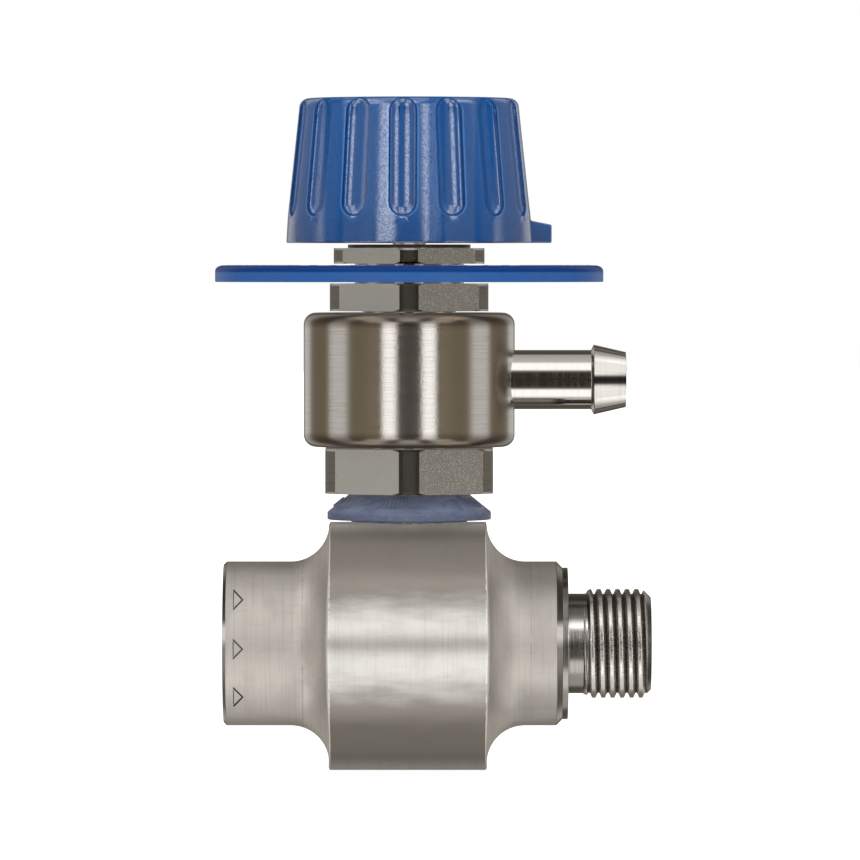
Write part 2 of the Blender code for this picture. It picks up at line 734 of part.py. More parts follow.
def dial_nut(steel):
    bore_r = BONNET_BOSS_R + GAP
    outline = [
        (NUT_Z, bore_r),
        *hex_flange(NUT_HEX_AF, NUT_Z, NUT_TOP_Z),
        (NUT_TOP_Z, NUT_COLLAR_R),
        (COLLAR_TOP_Z, NUT_COLLAR_R),
        (COLLAR_TOP_Z, bore_r),
    ]
    nut = turned("dial_nut", outline, steel)
    return cut_hex(nut, NUT_HEX_AF, NUT_Z - OVERRUN, COLLAR_TOP_Z + OVERRUN)


# The spindle and the knob.


def metering_spindle(steel):
    land_r = SPINDLE_BORE_R - GAP
    seat_slope = VALVE_SEAT_DEPTH / (SPINDLE_BORE_R - PASSAGE_R)
    seat_lift = GAP * hypot(1, seat_slope)
    cone_z = PASSAGE_TOP_Z + seat_lift
    cone_top_z = cone_z + (SPINDLE_NECK_R - NEEDLE_ROOT_R) * seat_slope
    land_z = SPINDLE_LAND_TOP_Z - SPINDLE_LAND_LENGTH
    outline = [
        (cone_z - NEEDLE_TIP_DROP, 0),
        (cone_z - NEEDLE_TIP_DROP, NEEDLE_TIP_R),
        (cone_z, NEEDLE_ROOT_R),
        (cone_top_z, SPINDLE_NECK_R),
        (land_z, SPINDLE_NECK_R),
        (land_z, land_r),
        *groove(SPINDLE_ORING_Z, oring_floor(SPINDLE_BORE_R), land_r),
        (SPINDLE_LAND_TOP_Z, land_r),
        (SPINDLE_LAND_TOP_Z, SPINDLE_THREAD_R),
        (DRIVE_Z, SPINDLE_THREAD_R),
        (DRIVE_Z, DRIVE_R),
        (DRIVE_TOP_Z, DRIVE_R),
        (DRIVE_TOP_Z, DRIVE_HOLE_R),
        (DRIVE_TOP_Z - DRIVE_HOLE_DEPTH, DRIVE_HOLE_R),
        (DRIVE_TOP_Z - DRIVE_HOLE_DEPTH, 0),
    ]
    spindle = turned("metering_spindle", outline, steel, steps=ROUND_SMALL)
    side = 2 * DRIVE_R
    flat = [(DRIVE_FLAT, -side), (side, -side), (side, side), (DRIVE_FLAT, side)]
    tool = prism("drive_flat", flat, steel, DRIVE_Z + OVERRUN, DRIVE_TOP_Z - DRIVE_Z)
    return apply_tool(spindle, tool, "DIFFERENCE")


def knob_bush(brass):
    outline = [(BUSH_Z, 0), (BUSH_Z, BUSH_R), (BUSH_TOP_Z, BUSH_R), (BUSH_TOP_Z, 0)]
    bush = turned("knob_bush", outline, brass, steps=ROUND_SMALL)
    hole_r = DRIVE_R + GAP
    flat_angle = acos((DRIVE_FLAT + GAP) / hole_r)
    keyed = arc((0, 0), hole_r, flat_angle, 2 * pi - flat_angle, ROUND_SMALL - 4)
    length = BUSH_TOP_Z - BUSH_Z + 2 * OVERRUN
    tool = prism("drive_hole", keyed, brass, BUSH_Z - OVERRUN, length)
    return apply_tool(bush, tool, "DIFFERENCE")


def knob_wall_r(height):
    """The outer radius of the knob between its flutes, from its lower rim to its upper edge."""
    skirt_z = KNOB_Z + KNOB_SKIRT_H
    if height <= skirt_z:
        return KNOB_BOTTOM_R + (KNOB_SKIRT_R - KNOB_BOTTOM_R) * (height - KNOB_Z) / KNOB_SKIRT_H
    shoulder_z = KNOB_TOP_Z - KNOB_EDGE_R
    share = (height - skirt_z) / (shoulder_z - skirt_z)
    return KNOB_SKIRT_R + (KNOB_TOP_R - KNOB_SKIRT_R) * share


def flute_depth(angle, height):
    """How deep the nearest flute is below the knob's wall at this angle and height."""
    spacing = 2 * pi / FLUTE_COUNT
    offset = (angle - FLUTE_PHASE + spacing / 2) % spacing - spacing / 2
    across = min(1, abs(offset) / FLUTE_HALF_ANGLE)
    rise = (height - KNOB_Z - KNOB_SKIRT_H) / FLUTE_END_H
    along = min(1, max(0, 1 - rise))
    return FLUTE_DEPTH * sqrt(max(0, 1 - across**2 - along**2))


def knob_columns():
    """The angles, counted from -Y towards +X, of the columns that the knob's wall is made on."""
    spacing = 2 * pi / FLUTE_COUNT
    half = FLUTE_HALF_ANGLE
    shares = [-half + 2 * half * step / FLUTE_STEPS for step in range(FLUTE_STEPS + 1)]
    shares.append(spacing / 2)
    return [FLUTE_PHASE + spacing * k + share for k in range(FLUTE_COUNT) for share in shares]


def knob_ring(height, radius, fluted=False):
    ring = []
    for angle in knob_columns():
        r = radius - (flute_depth(angle, height) if fluted else 0)
        ring.append(Vector((r * sin(angle), -r * cos(angle), height)))
    return ring


def knob_outside():
    """The knob as a solid, from its lower rim up its fluted wall to its rounded upper edge."""
    skirt_z = KNOB_Z + KNOB_SKIRT_H
    shoulder_z = KNOB_TOP_Z - KNOB_EDGE_R
    heights = [KNOB_Z, skirt_z]
    heights += [skirt_z + FLUTE_END_H * step / 3 for step in (1, 2, 3)]
    heights.append(shoulder_z)
    fluted = [(height, knob_wall_r(height)) for height in heights]
    centre = (shoulder_z, KNOB_TOP_R - KNOB_EDGE_R)
    edge = arc(centre, KNOB_EDGE_R, radians(60), 0, 2)
    rings = [knob_ring(z, r, fluted=True) for z, r in fluted + edge[:-1]]
    return rings + [knob_ring(*edge[-1])]


def knob_hollow():
    """The outline of the hollow under the knob, around its hub."""
    roof_z = KNOB_TOP_Z - KNOB_ROOF
    hub_z = KNOB_Z + KNOB_HUB_RISE
    return [
        (KNOB_Z - OVERRUN, 0),
        (KNOB_Z - OVERRUN, KNOB_BOTTOM_R - KNOB_WALL),
        (roof_z, knob_wall_r(roof_z) - KNOB_WALL),
        (roof_z, KNOB_HUB_R),
        (hub_z, KNOB_HUB_R),
        (hub_z, 0),
    ]


def knob_bore():
    """The outline of the bore for the bush, the well for the screw and the recess for the cap."""
    recess_z = KNOB_TOP_Z - CAP_T - GAP
    return [
        (KNOB_Z, 0),
        (KNOB_Z, BUSH_R + GAP),
        (WELL_Z, BUSH_R + GAP),
        (WELL_Z, WELL_R),
        (recess_z, WELL_R),
        (recess_z, CAP_R + GAP),
        (KNOB_TOP_Z + OVERRUN, CAP_R + GAP),
        (KNOB_TOP_Z + OVERRUN, 0),
    ]


def control_knob(plastic):
    bm = bmesh.new()
    skin(bm, knob_outside())
    origin = (0, 0, KNOB_Z)
    knob = add_object("control_knob", bm, plastic, origin)
    pointer = bmesh.new()
    rings = []
    for radius, height, width in (
        (POINTER_ROOT_R, POINTER_ROOT_H, POINTER_ROOT_W),
        (POINTER_TIP_R, POINTER_TIP_H, POINTER_TIP_W),
    ):
        low, high, half = KNOB_Z, KNOB_Z + height, width / 2
        corners = ((-half, low), (half, low), (half, high), (-half, high))
        rings.append([Vector((radius, y, z)) for y, z in corners])
    skin(pointer, rings)
    apply_tool(knob, add_object("knob_pointer", pointer, plastic, origin), "UNION")
    for name, outline in (("knob_hollow", knob_hollow()), ("knob_bore", knob_bore())):
        apply_tool(knob, turned(name, outline, plastic, origin=origin), "DIFFERENCE")
    return knob


def knob_cap(plastic):
    outline = [
        (KNOB_TOP_Z - CAP_T, 0),
        (KNOB_TOP_Z - CAP_T, CAP_R),
        (KNOB_TOP_Z - GAP, CAP_R),
        (KNOB_TOP_Z, CAP_R - GAP),
        (KNOB_TOP_Z, 0),
    ]
    return turned("knob_cap", outline, plastic)


def knob_fasteners(steel):
    """The screw that holds the knob on the spindle, and the washer under its head."""
    washer_z = WELL_Z + GAP
    hole_r = KNOB_SCREW_SHANK_R + GAP
    washer = [(washer_z, hole_r), (washer_z, WASHER_R), (washer_z + WASHER_T, WASHER_R)]
    washer.append((washer_z + WASHER_T, hole_r))
    turned("knob_washer", washer, steel, steps=ROUND_SMALL)
    head_z = washer_z + WASHER_T + GAP
    head_top_z = head_z + KNOB_SCREW_HEAD_H
    outline = [
        (head_z - KNOB_SCREW_LENGTH, 0),
        (head_z - KNOB_SCREW_LENGTH, KNOB_SCREW_SHANK_R),
        (head_z, KNOB_SCREW_SHANK_R),
        (head_z, KNOB_SCREW_HEAD_R),
        (head_top_z, KNOB_SCREW_HEAD_R),
        (head_top_z, 0),
    ]
    screw = turned("knob_screw", outline, steel, steps=ROUND_SMALL)
    half_width, depth = KNOB_SCREW_SLOT[0] / 2, KNOB_SCREW_SLOT[1]
    reach = KNOB_SCREW_HEAD_R + OVERRUN
    slot = [(-reach, -half_width), (reach, -half_width), (reach, half_width), (-reach, half_width)]
    tool = prism("screw_slot", slot, steel, head_top_z - depth, depth + OVERRUN)
    return apply_tool(screw, tool, "DIFFERENCE")


def main():
    for obj in list(bpy.data.objects):
        bpy.data.objects.remove(obj)
    turned_steel = finish("turned_stainless", (0.55, 0.53, 0.50), 1, 0.35)
    blasted_steel = finish("blasted_stainless", (0.36, 0.35, 0.31), 1, 0.6)
    polished_steel = finish("polished_stainless", (0.6, 0.58, 0.56), 1, 0.18)
    spring_steel = finish("spring_steel", (0.5, 0.5, 0.5), 1, 0.25)
    brass = finish("brass", (0.78, 0.6, 0.28), 1, 0.3)
    blue_plastic = finish("blue_plastic", (0.03, 0.13, 0.42), 0, 0.35)
    seal_blue = finish("blue_elastomer", (0.06, 0.09, 0.2), 0, 0.6)
    black_rubber = finish("black_rubber", (0.02, 0.02, 0.02), 0, 0.6)

    injector_body(turned_steel)
    jet_nozzle(polished_steel)
    oring("nozzle_oring", NOZZLE_ORING_X, NOZZLE_BORE_R, black_rubber, X_AXIS, FLOW_CENTRE)
    diffuser_tube(polished_steel)
    oring("diffuser_oring", DIFFUSER_ORING_X, DIFFUSER_BORE_R, black_rubber, X_AXIS, FLOW_CENTRE)
    profile_seal(seal_blue)

    hollow_screw(blasted_steel)
    check_ball(polished_steel)
    check_spring(spring_steel)
    spring_retainer(polished_steel)

    banjo_ring(turned_steel)
    hose_barb(polished_steel)
    for name, height in zip(("swivel_oring_lower", "swivel_oring_upper"), swivel_oring_heights()):
        oring(name, height, STEM_R + GAP, black_rubber)

    valve_bonnet(blasted_steel)
    scale_dial(blue_plastic)
    dial_nut(blasted_steel)

    metering_spindle(polished_steel)
    oring("spindle_oring", SPINDLE_ORING_Z, SPINDLE_BORE_R, black_rubber)
    knob_bush(brass)
    control_knob(blue_plastic)
    knob_fasteners(spring_steel)
    knob_cap(blue_plastic)


main()
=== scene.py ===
from math import acos, asin, ceil, cos, pi, radians, sin, sqrt, tan

import bmesh
import bpy
from mathutils import Matrix, Vector


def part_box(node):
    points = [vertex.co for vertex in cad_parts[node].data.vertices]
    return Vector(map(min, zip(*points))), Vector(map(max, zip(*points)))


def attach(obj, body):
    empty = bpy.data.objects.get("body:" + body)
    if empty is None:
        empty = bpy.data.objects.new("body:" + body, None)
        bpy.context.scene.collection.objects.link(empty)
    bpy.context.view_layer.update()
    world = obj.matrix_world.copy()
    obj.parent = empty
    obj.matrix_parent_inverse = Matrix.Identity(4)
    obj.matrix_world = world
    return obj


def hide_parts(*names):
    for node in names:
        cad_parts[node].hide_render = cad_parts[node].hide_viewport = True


# A stainless foam injector with a metering valve. Sizes are in millimetres, along the frame's axes:
# the flow axis is X, the valve stands on Z, and the face with the flow arrows looks along -Y.

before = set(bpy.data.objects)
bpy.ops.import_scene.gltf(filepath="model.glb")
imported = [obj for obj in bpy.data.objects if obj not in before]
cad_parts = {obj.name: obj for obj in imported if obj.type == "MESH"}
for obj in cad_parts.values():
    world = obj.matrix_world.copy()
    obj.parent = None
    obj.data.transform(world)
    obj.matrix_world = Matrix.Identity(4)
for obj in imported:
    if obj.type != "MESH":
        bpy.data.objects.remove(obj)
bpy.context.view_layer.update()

MM = 0.001
WELD = 0.0004  # vertices this close are one vertex
FINE = 144  # columns round a large turned piece
SMALL = 72  # columns round a small one
X_AXIS = Vector((1, 0, 0))
Z_AXIS = Vector((0, 0, 1))


def span(node):
    """Lowest and highest corner of a node of the frame."""
    low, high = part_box(node)
    return low / MM, high / MM


# Places from the frame.
BODY_LOW, BODY_HIGH = span("injector_body")
NOZZLE_LOW, NOZZLE_HIGH = span("jet_nozzle")
TUBE_LOW, TUBE_HIGH = span("diffuser_tube")
SEAL_LOW, SEAL_HIGH = span("profile_seal")
SCREW_LOW, SCREW_HIGH = span("hollow_screw")
RING_LOW, RING_HIGH = span("banjo_ring")
TAIL_LOW, TAIL_HIGH = span("hose_barb")
BONNET_LOW, BONNET_HIGH = span("valve_bonnet")
DIAL_LOW, DIAL_HIGH = span("scale_dial")
NUT_LOW, NUT_HIGH = span("dial_nut")
KNOB_LOW, KNOB_HIGH = span("control_knob")
CAP_LOW, CAP_HIGH = span("knob_cap")

# The injector's block and barrels.
FLOW_Z = (TUBE_LOW.z + TUBE_HIGH.z) / 2
SEAT_Z = BODY_HIGH.z
INLET_X = BODY_LOW.x
OUTLET_X = BODY_HIGH.x
HALF_DEPTH = BODY_HIGH.y
BLOCK_X = (-15.4, 14.9)
BARREL_R = 15.8
FILLET_R = 7.4
CORNER_R = 14.0
CROWN_HALF_ANGLE = radians(39.6)
EDGE_BREAK = 0.35
PIPE_R = (9.4, 9.5, 10.48)  # female thread's crest, male thread's root, male thread's crest
PIPE_PITCH = 1.814
THREAD_LENGTH = 12.7
THREAD_END_R = 8.9
SOCKET_DEPTH = 15.0
SOCKET_MOUTH_R = 10.6
NOZZLE_BORE_R = 6.3
OUTLET_BORE_R = 7.0
CHAMBER_X = -5.0
PORT_R = 6.6
RIM_CHAMFER = 0.6
SHOULDER_X = BLOCK_X[1] + FILLET_R + 6.0
LIP_X = SHOULDER_X + 1.1
LIP_R = BARREL_R - 1.2
NECK_X = LIP_X + 1.1
NECK_R = 9.6
THREAD_X = OUTLET_X - THREAD_LENGTH

# The valve's stem, ring, tail and hexagons.
PIECE_GAP = 0.3
STEM_R = 9.0
RING_EDGE_R = 2.3
HOSE_Z = (TAIL_LOW.z + TAIL_HIGH.z) / 2
BARB_X = TAIL_HIGH.x - 6.2  # where the barb is widest
HEX_LAND_ANGLE = radians(6.4)
HEX_CHAMFER = 0.5
SCREW_HEX_AF = 32.2
BONNET_HEX_AF = 30.4
NUT_HEX_AF = 28.9
BOSS_R = 10.5
NUT_HEX_H = 3.0
DIAL_BEVEL = (1.1, 1.6)  # its height and its width

# The knob.
KNOB_R = (23.65, 23.35, 21.15)  # at its lower rim, above the skirt and at its top
SKIRT_H = 5.1
KNOB_EDGE_R = 1.9
FLUTES = 15
FLUTE_PHASE = radians(-3)
FLUTE_W = 2.67  # half the width
FLUTE_D = 1.3
FLUTE_LOW_Z = KNOB_LOW.z + SKIRT_H + FLUTE_W  # where the flute's round lower end starts
KNOB_SHOULDER_Z = KNOB_HIGH.z - KNOB_EDGE_R
FLUTE_HIGH_Z = KNOB_SHOULDER_Z - 0.9
CAP_RECESS_R = 9.3


# Node trees, written as formulas.


class Field:
    """A number that a node tree works out, so that a formula reads as one."""

    def __init__(self, tree, socket):
        self.tree = tree
        self.socket = socket

    def node(self, operation, *others, clamp=False):
        node = self.tree.nodes.new("ShaderNodeMath")
        node.operation = operation
        node.use_clamp = clamp
        for socket, value in zip(node.inputs, (self, *others)):
            if isinstance(value, Field):
                self.tree.links.new(value.socket, socket)
            else:
                socket.default_value = value
        return Field(self.tree, node.outputs[0])

    def __add__(self, other):
        return self.node("ADD", other)

    def __sub__(self, other):
        return self.node("SUBTRACT", other)

    def __mul__(self, other):
        return self.node("MULTIPLY", other)

    def __truediv__(self, other):
        return self.node("DIVIDE", other)

    def magnitude(self):
        return self.node("ABSOLUTE")

    def at_least(self, other):
        return self.node("MAXIMUM", other)

    def ramp(self, start, end, low=0.0, high=1.0):
        """Low up to start, high from end, and a smooth step between them."""
        node = self.tree.nodes.new("ShaderNodeMapRange")
        node.interpolation_type = "SMOOTHSTEP"
        self.tree.links.new(self.socket, node.inputs["Value"])
        for name, value in (
            ("From Min", start),
            ("From Max", end),
            ("To Min", low),
            ("To Max", high),
        ):
            node.inputs[name].default_value = value
        return Field(self.tree, node.outputs["Result"])


class Finish:
    """A material under construction: a Principled shader and the patterns that feed it."""

    def __init__(self, name, colour, roughness, metallic=0.0, **constants):
        self.material = bpy.data.materials.new(name)
        self.material.use_nodes = True
        self.tree = self.material.node_tree
        self.shader = self.tree.nodes["Principled BSDF"]
        self.colour = colour
        self.bump_out = None
        self.place = self.tree.nodes.new("ShaderNodeTexCoord").outputs["Object"]
        self.shader.inputs["Base Color"].default_value = (*colour, 1)
        self.shader.inputs["Roughness"].default_value = roughness
        self.shader.inputs["Metallic"].default_value = metallic
        for key, value in constants.items():
            self.shader.inputs[key.replace("_", " ")].default_value = value

    def axes(self):
        """The place on the piece as three numbers, in millimetres."""
        node = self.tree.nodes.new("ShaderNodeSeparateXYZ")
        self.tree.links.new(self.place, node.inputs[0])
        return [Field(self.tree, output) / MM for output in node.outputs]

    def noise(self, size, detail=2.0, roughness=0.5):
        """A noise pattern whose grains have the given size, one number or one for each axis, in mm."""
        sizes = (size,) * 3 if isinstance(size, (int, float)) else size
        mapping = self.tree.nodes.new("ShaderNodeMapping")
        mapping.inputs["Scale"].default_value = [1 / (value * MM) for value in sizes]
        self.tree.links.new(self.place, mapping.inputs["Vector"])
        node = self.tree.nodes.new("ShaderNodeTexNoise")
        node.inputs["Scale"].default_value = 1.0
        node.inputs["Detail"].default_value = detail
        node.inputs["Roughness"].default_value = roughness
        self.tree.links.new(mapping.outputs["Vector"], node.inputs["Vector"])
        return Field(self.tree, node.outputs[0])

    def tint(self, amount, colour):
        """Mixes another colour in, by an amount from 0 to 1."""
        mix = self.tree.nodes.new("ShaderNodeMix")
        mix.data_type = "RGBA"
        source = self.shader.inputs["Base Color"]
        if source.is_linked:
            self.tree.links.new(source.links[0].from_socket, mix.inputs[6])
        else:
            mix.inputs[6].default_value = source.default_value
        mix.inputs[7].default_value = (*colour, 1)
        self.tree.links.new(amount.node("MINIMUM", 1.0, clamp=True).socket, mix.inputs[0])
        self.tree.links.new(mix.outputs[2], source)

    def vary(self, name, value):
        """Lets a number of the shader vary over the surface."""
        self.tree.links.new(value.socket, self.shader.inputs[name])

    def rough(self, value):
        self.vary("Roughness", value)

    def bump(self, height, depth, strength=1.0):
        """Raises the surface by a height from 0 to 1 times a depth in mm, over any earlier bump."""
        node = self.tree.nodes.new("ShaderNodeBump")
        node.inputs["Strength"].default_value = strength
        node.inputs["Distance"].default_value = depth * MM
        self.tree.links.new(height.socket, node.inputs["Height"])
        if self.bump_out is not None:
            self.tree.links.new(self.bump_out, node.inputs["Normal"])
        self.bump_out = node.outputs[0]
        self.tree.links.new(self.bump_out, self.shader.inputs["Normal"])

    def brushed_round(self, axis, amount):
        """Stretches the gloss across tool marks that run round an axis."""
        tangent = self.tree.nodes.new("ShaderNodeTangent")
        tangent.direction_type = "RADIAL"
        tangent.axis = axis
        self.shader.inputs["Anisotropic"].default_value = amount
        self.shader.inputs["Anisotropic Rotation"].default_value = 0.25
        self.tree.links.new(tangent.outputs[0], self.shader.inputs["Tangent"])


# Finishes.

STEEL_SHADE = (0.33, 0.31, 0.28)


def tool_marks(axis, pitch):
    """The grain size along each axis of lines that run round the given axis."""
    return tuple(pitch if name == axis else 60 * pitch for name in "XYZ")


def dimmed(colour, share):
    return tuple(share * value for value in colour)


def satin_steel(name, colour, roughness, stretch):
    """Bar or barrels as turned and tumbled, with fine lines round the flow axis."""
    finish = Finish(name, colour, roughness, 1.0)
    lines = finish.noise(tool_marks("X", 0.3), 3.0, 0.6)
    clouds = finish.noise((5.0, 7.0, 7.0), 4.0, 0.55)
    streaks = finish.noise((6.0, 0.8, 0.8), 3.0, 0.6)
    shade = dimmed(colour, 0.66)
    finish.tint(clouds.ramp(0.42, 0.72, 0.0, 0.28), shade)
    finish.tint(streaks.ramp(0.5, 0.8, 0.0, 0.3), shade)
    finish.tint(lines.ramp(0.48, 0.7, 0.0, 0.32), shade)
    finish.rough(clouds.ramp(0.3, 0.7, -0.03, 0.04) + lines.ramp(0.3, 0.7, -0.02, 0.04) + roughness)
    finish.bump(finish.noise(tool_marks("X", 0.9), 2.0), 0.002)
    finish.bump(lines, 0.0022)
    finish.brushed_round("X", stretch)
    return finish


def block_steel():
    """The bar, bright along its middle, with painted shade towards its corners and over its lower and
    upper parts, painted highlights along its end edges, and rougher towards its corners.
    """
    finish = satin_steel("milled_stainless", (0.84, 0.83, 0.80), 0.36, 1.0)
    along, across, up = finish.axes()
    height = (up - FLOW_Z).magnitude()
    front = across.magnitude().ramp(7.0, 12.0)
    wander = finish.noise((9.0, 2.0, 2.0), 3.0).ramp(0.25, 0.75, -0.9, 0.9)
    height = height + wander
    # Painted shade: the front and back darken away from the flow axis, standing in for the reflection's
    # fall-off.
    finish.tint(height.ramp(3.6, 12.0, 0.0, 0.9) * front, (0.175, 0.158, 0.137))
    # Painted shade over the lower part of the bar, and lighter painted shade over its upper part.
    finish.tint(up.ramp(FLOW_Z - 15.5, FLOW_Z - 9.5, 0.72, 0.0), (0.10, 0.09, 0.078))
    finish.tint(up.ramp(FLOW_Z + 12.0, FLOW_Z + 15.0, 0.0, 0.3), (0.10, 0.09, 0.078))
    # Painted highlights along both end edges of the bar, broken up by noise.
    for edge_x in BLOCK_X:
        edge = (along - edge_x).magnitude().ramp(0.12, 0.42, 0.75, 0.0)
        patchy_highlight = finish.noise((4.0, 1.2, 1.2), 2.0).ramp(0.35, 0.6)
        finish.tint(edge * patchy_highlight, (0.92, 0.91, 0.88))
    dull = height.ramp(10.0, 17.0)
    finish.rough(dull * 0.26 + 0.36)
    finish.vary("Anisotropic", dull * -0.85 + 1.0)
    return finish.material


def barrel_steel():
    """The turned barrels, with painted shade in a band above and below the flow axis, darker on the
    outlet side and at the top and bottom, and a scribed line round each one.
    """
    finish = satin_steel("turned_stainless", (0.50, 0.475, 0.445), 0.5, 0.3)
    along, across, up = finish.axes()
    height = (up - FLOW_Z).magnitude()
    # Painted shade in bands above and below the flow axis, weaker beside the block and darker on the
    # outlet side.
    band = height.ramp(3.0, 10.5) * height.ramp(11.5, 15.0, 1.0, 0.1)
    band = band * along.magnitude().ramp(BLOCK_X[1] + 1.5, BLOCK_X[1] + FILLET_R, 0.25, 1.0)
    finish.tint(band * along.ramp(-1.0, 1.0, 0.38, 0.67), (0.20, 0.188, 0.172))
    # Painted shade towards the top and bottom of each barrel.
    finish.tint(height.ramp(13.6, 16.2, 0.0, 0.4), (0.34, 0.31, 0.28))
    for mark_x in (BLOCK_X[0] - 5.0, BLOCK_X[1] + 8.4):
        mark = (along - mark_x).magnitude().ramp(0.03, 0.16, 0.5, 0.0)
        finish.tint(mark * finish.noise(2.5).ramp(0.35, 0.6), (0.22, 0.20, 0.18))
    return finish.material


def ring_steel():
    """The swivel ring, fine-turned, with lines round the valve's axis, painted reflection bands down
    its sides and painted shade on its edges.
    """
    finish = Finish("turned_ring_stainless", (0.42, 0.405, 0.385), 0.24, 1.0)
    lines = finish.noise(tool_marks("Z", 0.14), 3.0, 0.65)
    streaks = finish.noise((1.6, 1.6, 0.5), 3.0)
    across, _, up = finish.axes()
    across = across.magnitude()
    # Painted reflection: warm dark bands down the ring at these distances to the side of the front.
    warm = across.ramp(5.0, 6.5) * across.ramp(10.5, 12.0, 1.0, 0.0)
    warm = warm + across.ramp(15.0, 16.2) * across.ramp(17.6, 18.8, 1.0, 0.0)
    middle_z = (RING_LOW.z + RING_HIGH.z) / 2
    reach = (RING_HIGH.z - RING_LOW.z) / 2
    edge = (up - middle_z).magnitude().ramp(reach - 3.4, reach - 1.2)
    finish.tint(lines.ramp(0.46, 0.72, 0.0, 0.42), (0.27, 0.245, 0.21))
    finish.tint(streaks.ramp(0.5, 0.8, 0.0, 0.14), STEEL_SHADE)
    finish.tint(warm * 0.8, (0.37, 0.31, 0.215))
    # Painted shade on the rounded top and bottom edges.
    finish.tint(edge * 0.9, (0.085, 0.068, 0.055))
    finish.rough(lines.ramp(0.3, 0.75, 0.2, 0.27))
    finish.bump(lines, 0.0004)
    finish.bump(finish.noise(0.4, 2.0), 0.008)
    finish.brushed_round("Z", 0.72)
    return finish.material


def polished_steel(name, roughness):
    """Turned with a fine feed: bright, with a trace of tool marks round the piece."""
    finish = Finish(name, (0.44, 0.43, 0.41), roughness, 1.0)
    lines = finish.noise(tool_marks("X", 0.2), 3.0, 0.6)
    finish.tint(lines.ramp(0.5, 0.8, 0.0, 0.3), STEEL_SHADE)
    finish.rough(lines.ramp(0.3, 0.8, roughness - 0.03, roughness + 0.08))
    finish.bump(lines, 0.0008)
    finish.brushed_round("X", 0.4)
    return finish


def neck_steel():
    """The neck behind the thread, with painted shade below and above a painted highlight band just
    above the flow axis.
    """
    finish = polished_steel("polished_stainless", 0.22)
    up = finish.axes()[2]
    # Painted shade below the flow axis, a painted highlight band just above it, and darker painted
    # shade higher up.
    finish.tint(up.ramp(FLOW_Z - 0.6, FLOW_Z + 1.2, 0.6, 0.0), (0.10, 0.09, 0.08))
    finish.tint(up.ramp(FLOW_Z + 0.6, FLOW_Z + 2.0, 0.0, 0.8), (0.72, 0.70, 0.68))
    finish.tint(up.ramp(FLOW_Z + 3.4, FLOW_Z + 5.4, 0.0, 0.93), (0.05, 0.045, 0.04))
    return finish.material


def tail_steel():
    """The hose tail, with painted shade towards its top and bottom and a painted dark reflection along
    the middle of its barb.
    """
    finish = polished_steel("polished_tail_stainless", 0.10)
    along, _, up = finish.axes()
    barb = along.ramp(BARB_X - 0.3, BARB_X)
    height = (up - HOSE_Z).magnitude()
    # Painted shade, light all over and stronger towards the top and bottom; then a painted dark
    # reflection along the middle of the barb.
    finish.tint(height.ramp(3.4, 5.0, 0.1, 0.5), (0.14, 0.13, 0.12))
    finish.tint(barb * height.ramp(0.5, 1.5, 1.0, 0.0), (0.012, 0.011, 0.01))
    return finish.material


def blasted_steel():
    """The wrench flats, blasted to a coarse sparkle, coarser on one side, with painted shade over that
    side.
    """
    finish = Finish("blasted_stainless", (0.45, 0.447, 0.425), 0.50, 1.0)
    across = finish.axes()[0]
    grain = finish.noise(0.24, 2.0, 0.6)
    pits = finish.noise(0.24, 2.0, 0.6)
    coarse = across.ramp(-1.0, 1.0, 0.3, 1.0)
    # Painted shade over the +X side.
    finish.tint(across.ramp(-1.0, 1.0, 0.0, 0.75), (0.20, 0.185, 0.16))
    finish.tint(grain.ramp(0.44, 0.58, 0.0, 0.8) * coarse, (0.15, 0.14, 0.12))
    finish.tint(pits.ramp(0.48, 0.62, 0.0, 0.5) * coarse, (0.72, 0.70, 0.66))
    finish.rough(grain.ramp(0.3, 0.7, 0.42, 0.6))
    finish.bump(grain * coarse, 0.035)
    return finish.material


def land_steel():
    """The turned lands between the wrench flats, with a painted dark reflection down the front and back
    lands, and painted shadow on the collar under the knob.
    """
    finish = Finish("turned_land_stainless", (0.34, 0.335, 0.32), 0.2, 1.0)
    across, _, up = finish.axes()
    across = across.magnitude()
    hexagon_top_z = NUT_LOW.z + NUT_HEX_H
    collar = up.ramp(hexagon_top_z + 0.02, hexagon_top_z + 0.1)
    lines = finish.noise(tool_marks("Z", 0.3), 3.0, 0.6)
    finish.tint(lines.ramp(0.45, 0.7, 0.0, 0.5), (0.22, 0.21, 0.19))
    # Painted dark reflection down the lands at the front and back.
    finish.tint(across.ramp(0.7, 1.7, 0.0, 0.75) * across.ramp(2.2, 2.5, 1.0, 0.0), (0.08, 0.08, 0.075))
    # Painted shadow: the collar above the nut's hexagon, under the knob, is tinted almost black.
    finish.tint(collar * 0.95, (0.04, 0.03, 0.025))
    finish.rough(collar * 0.3 + 0.2)
    finish.bump(lines, 0.002)
    return finish.material


def thread_steel():
    """Cut threads: bright crests over roots darkened with painted shade, and painted shade over the
    upper side.
    """
    finish = Finish("cut_thread_stainless", (0.52, 0.50, 0.475), 0.28, 1.0)
    _, across, up = finish.axes()
    up = up - FLOW_Z
    radius = (across * across + up * up).node("SQRT")
    chatter = finish.noise((0.5, 0.6, 0.6), 3.0, 0.6)
    # Painted shade in the roots of the thread.
    root = radius.ramp(PIPE_R[1], PIPE_R[2] - 0.45, 1.0, 0.0)
    finish.tint(root * chatter.ramp(0.25, 0.6, 0.75, 1.0), (0.07, 0.06, 0.05))
    finish.tint(chatter.ramp(0.5, 0.75, 0.0, 0.3), (0.25, 0.23, 0.20))
    # Painted shade over the upper side of the thread.
    finish.tint(up.ramp(3.5, 9.0, 0.0, 0.6), (0.12, 0.11, 0.10))
    finish.rough(chatter.ramp(0.3, 0.7, 0.22, 0.36))
    finish.bump(chatter, 0.006)
    return finish.material


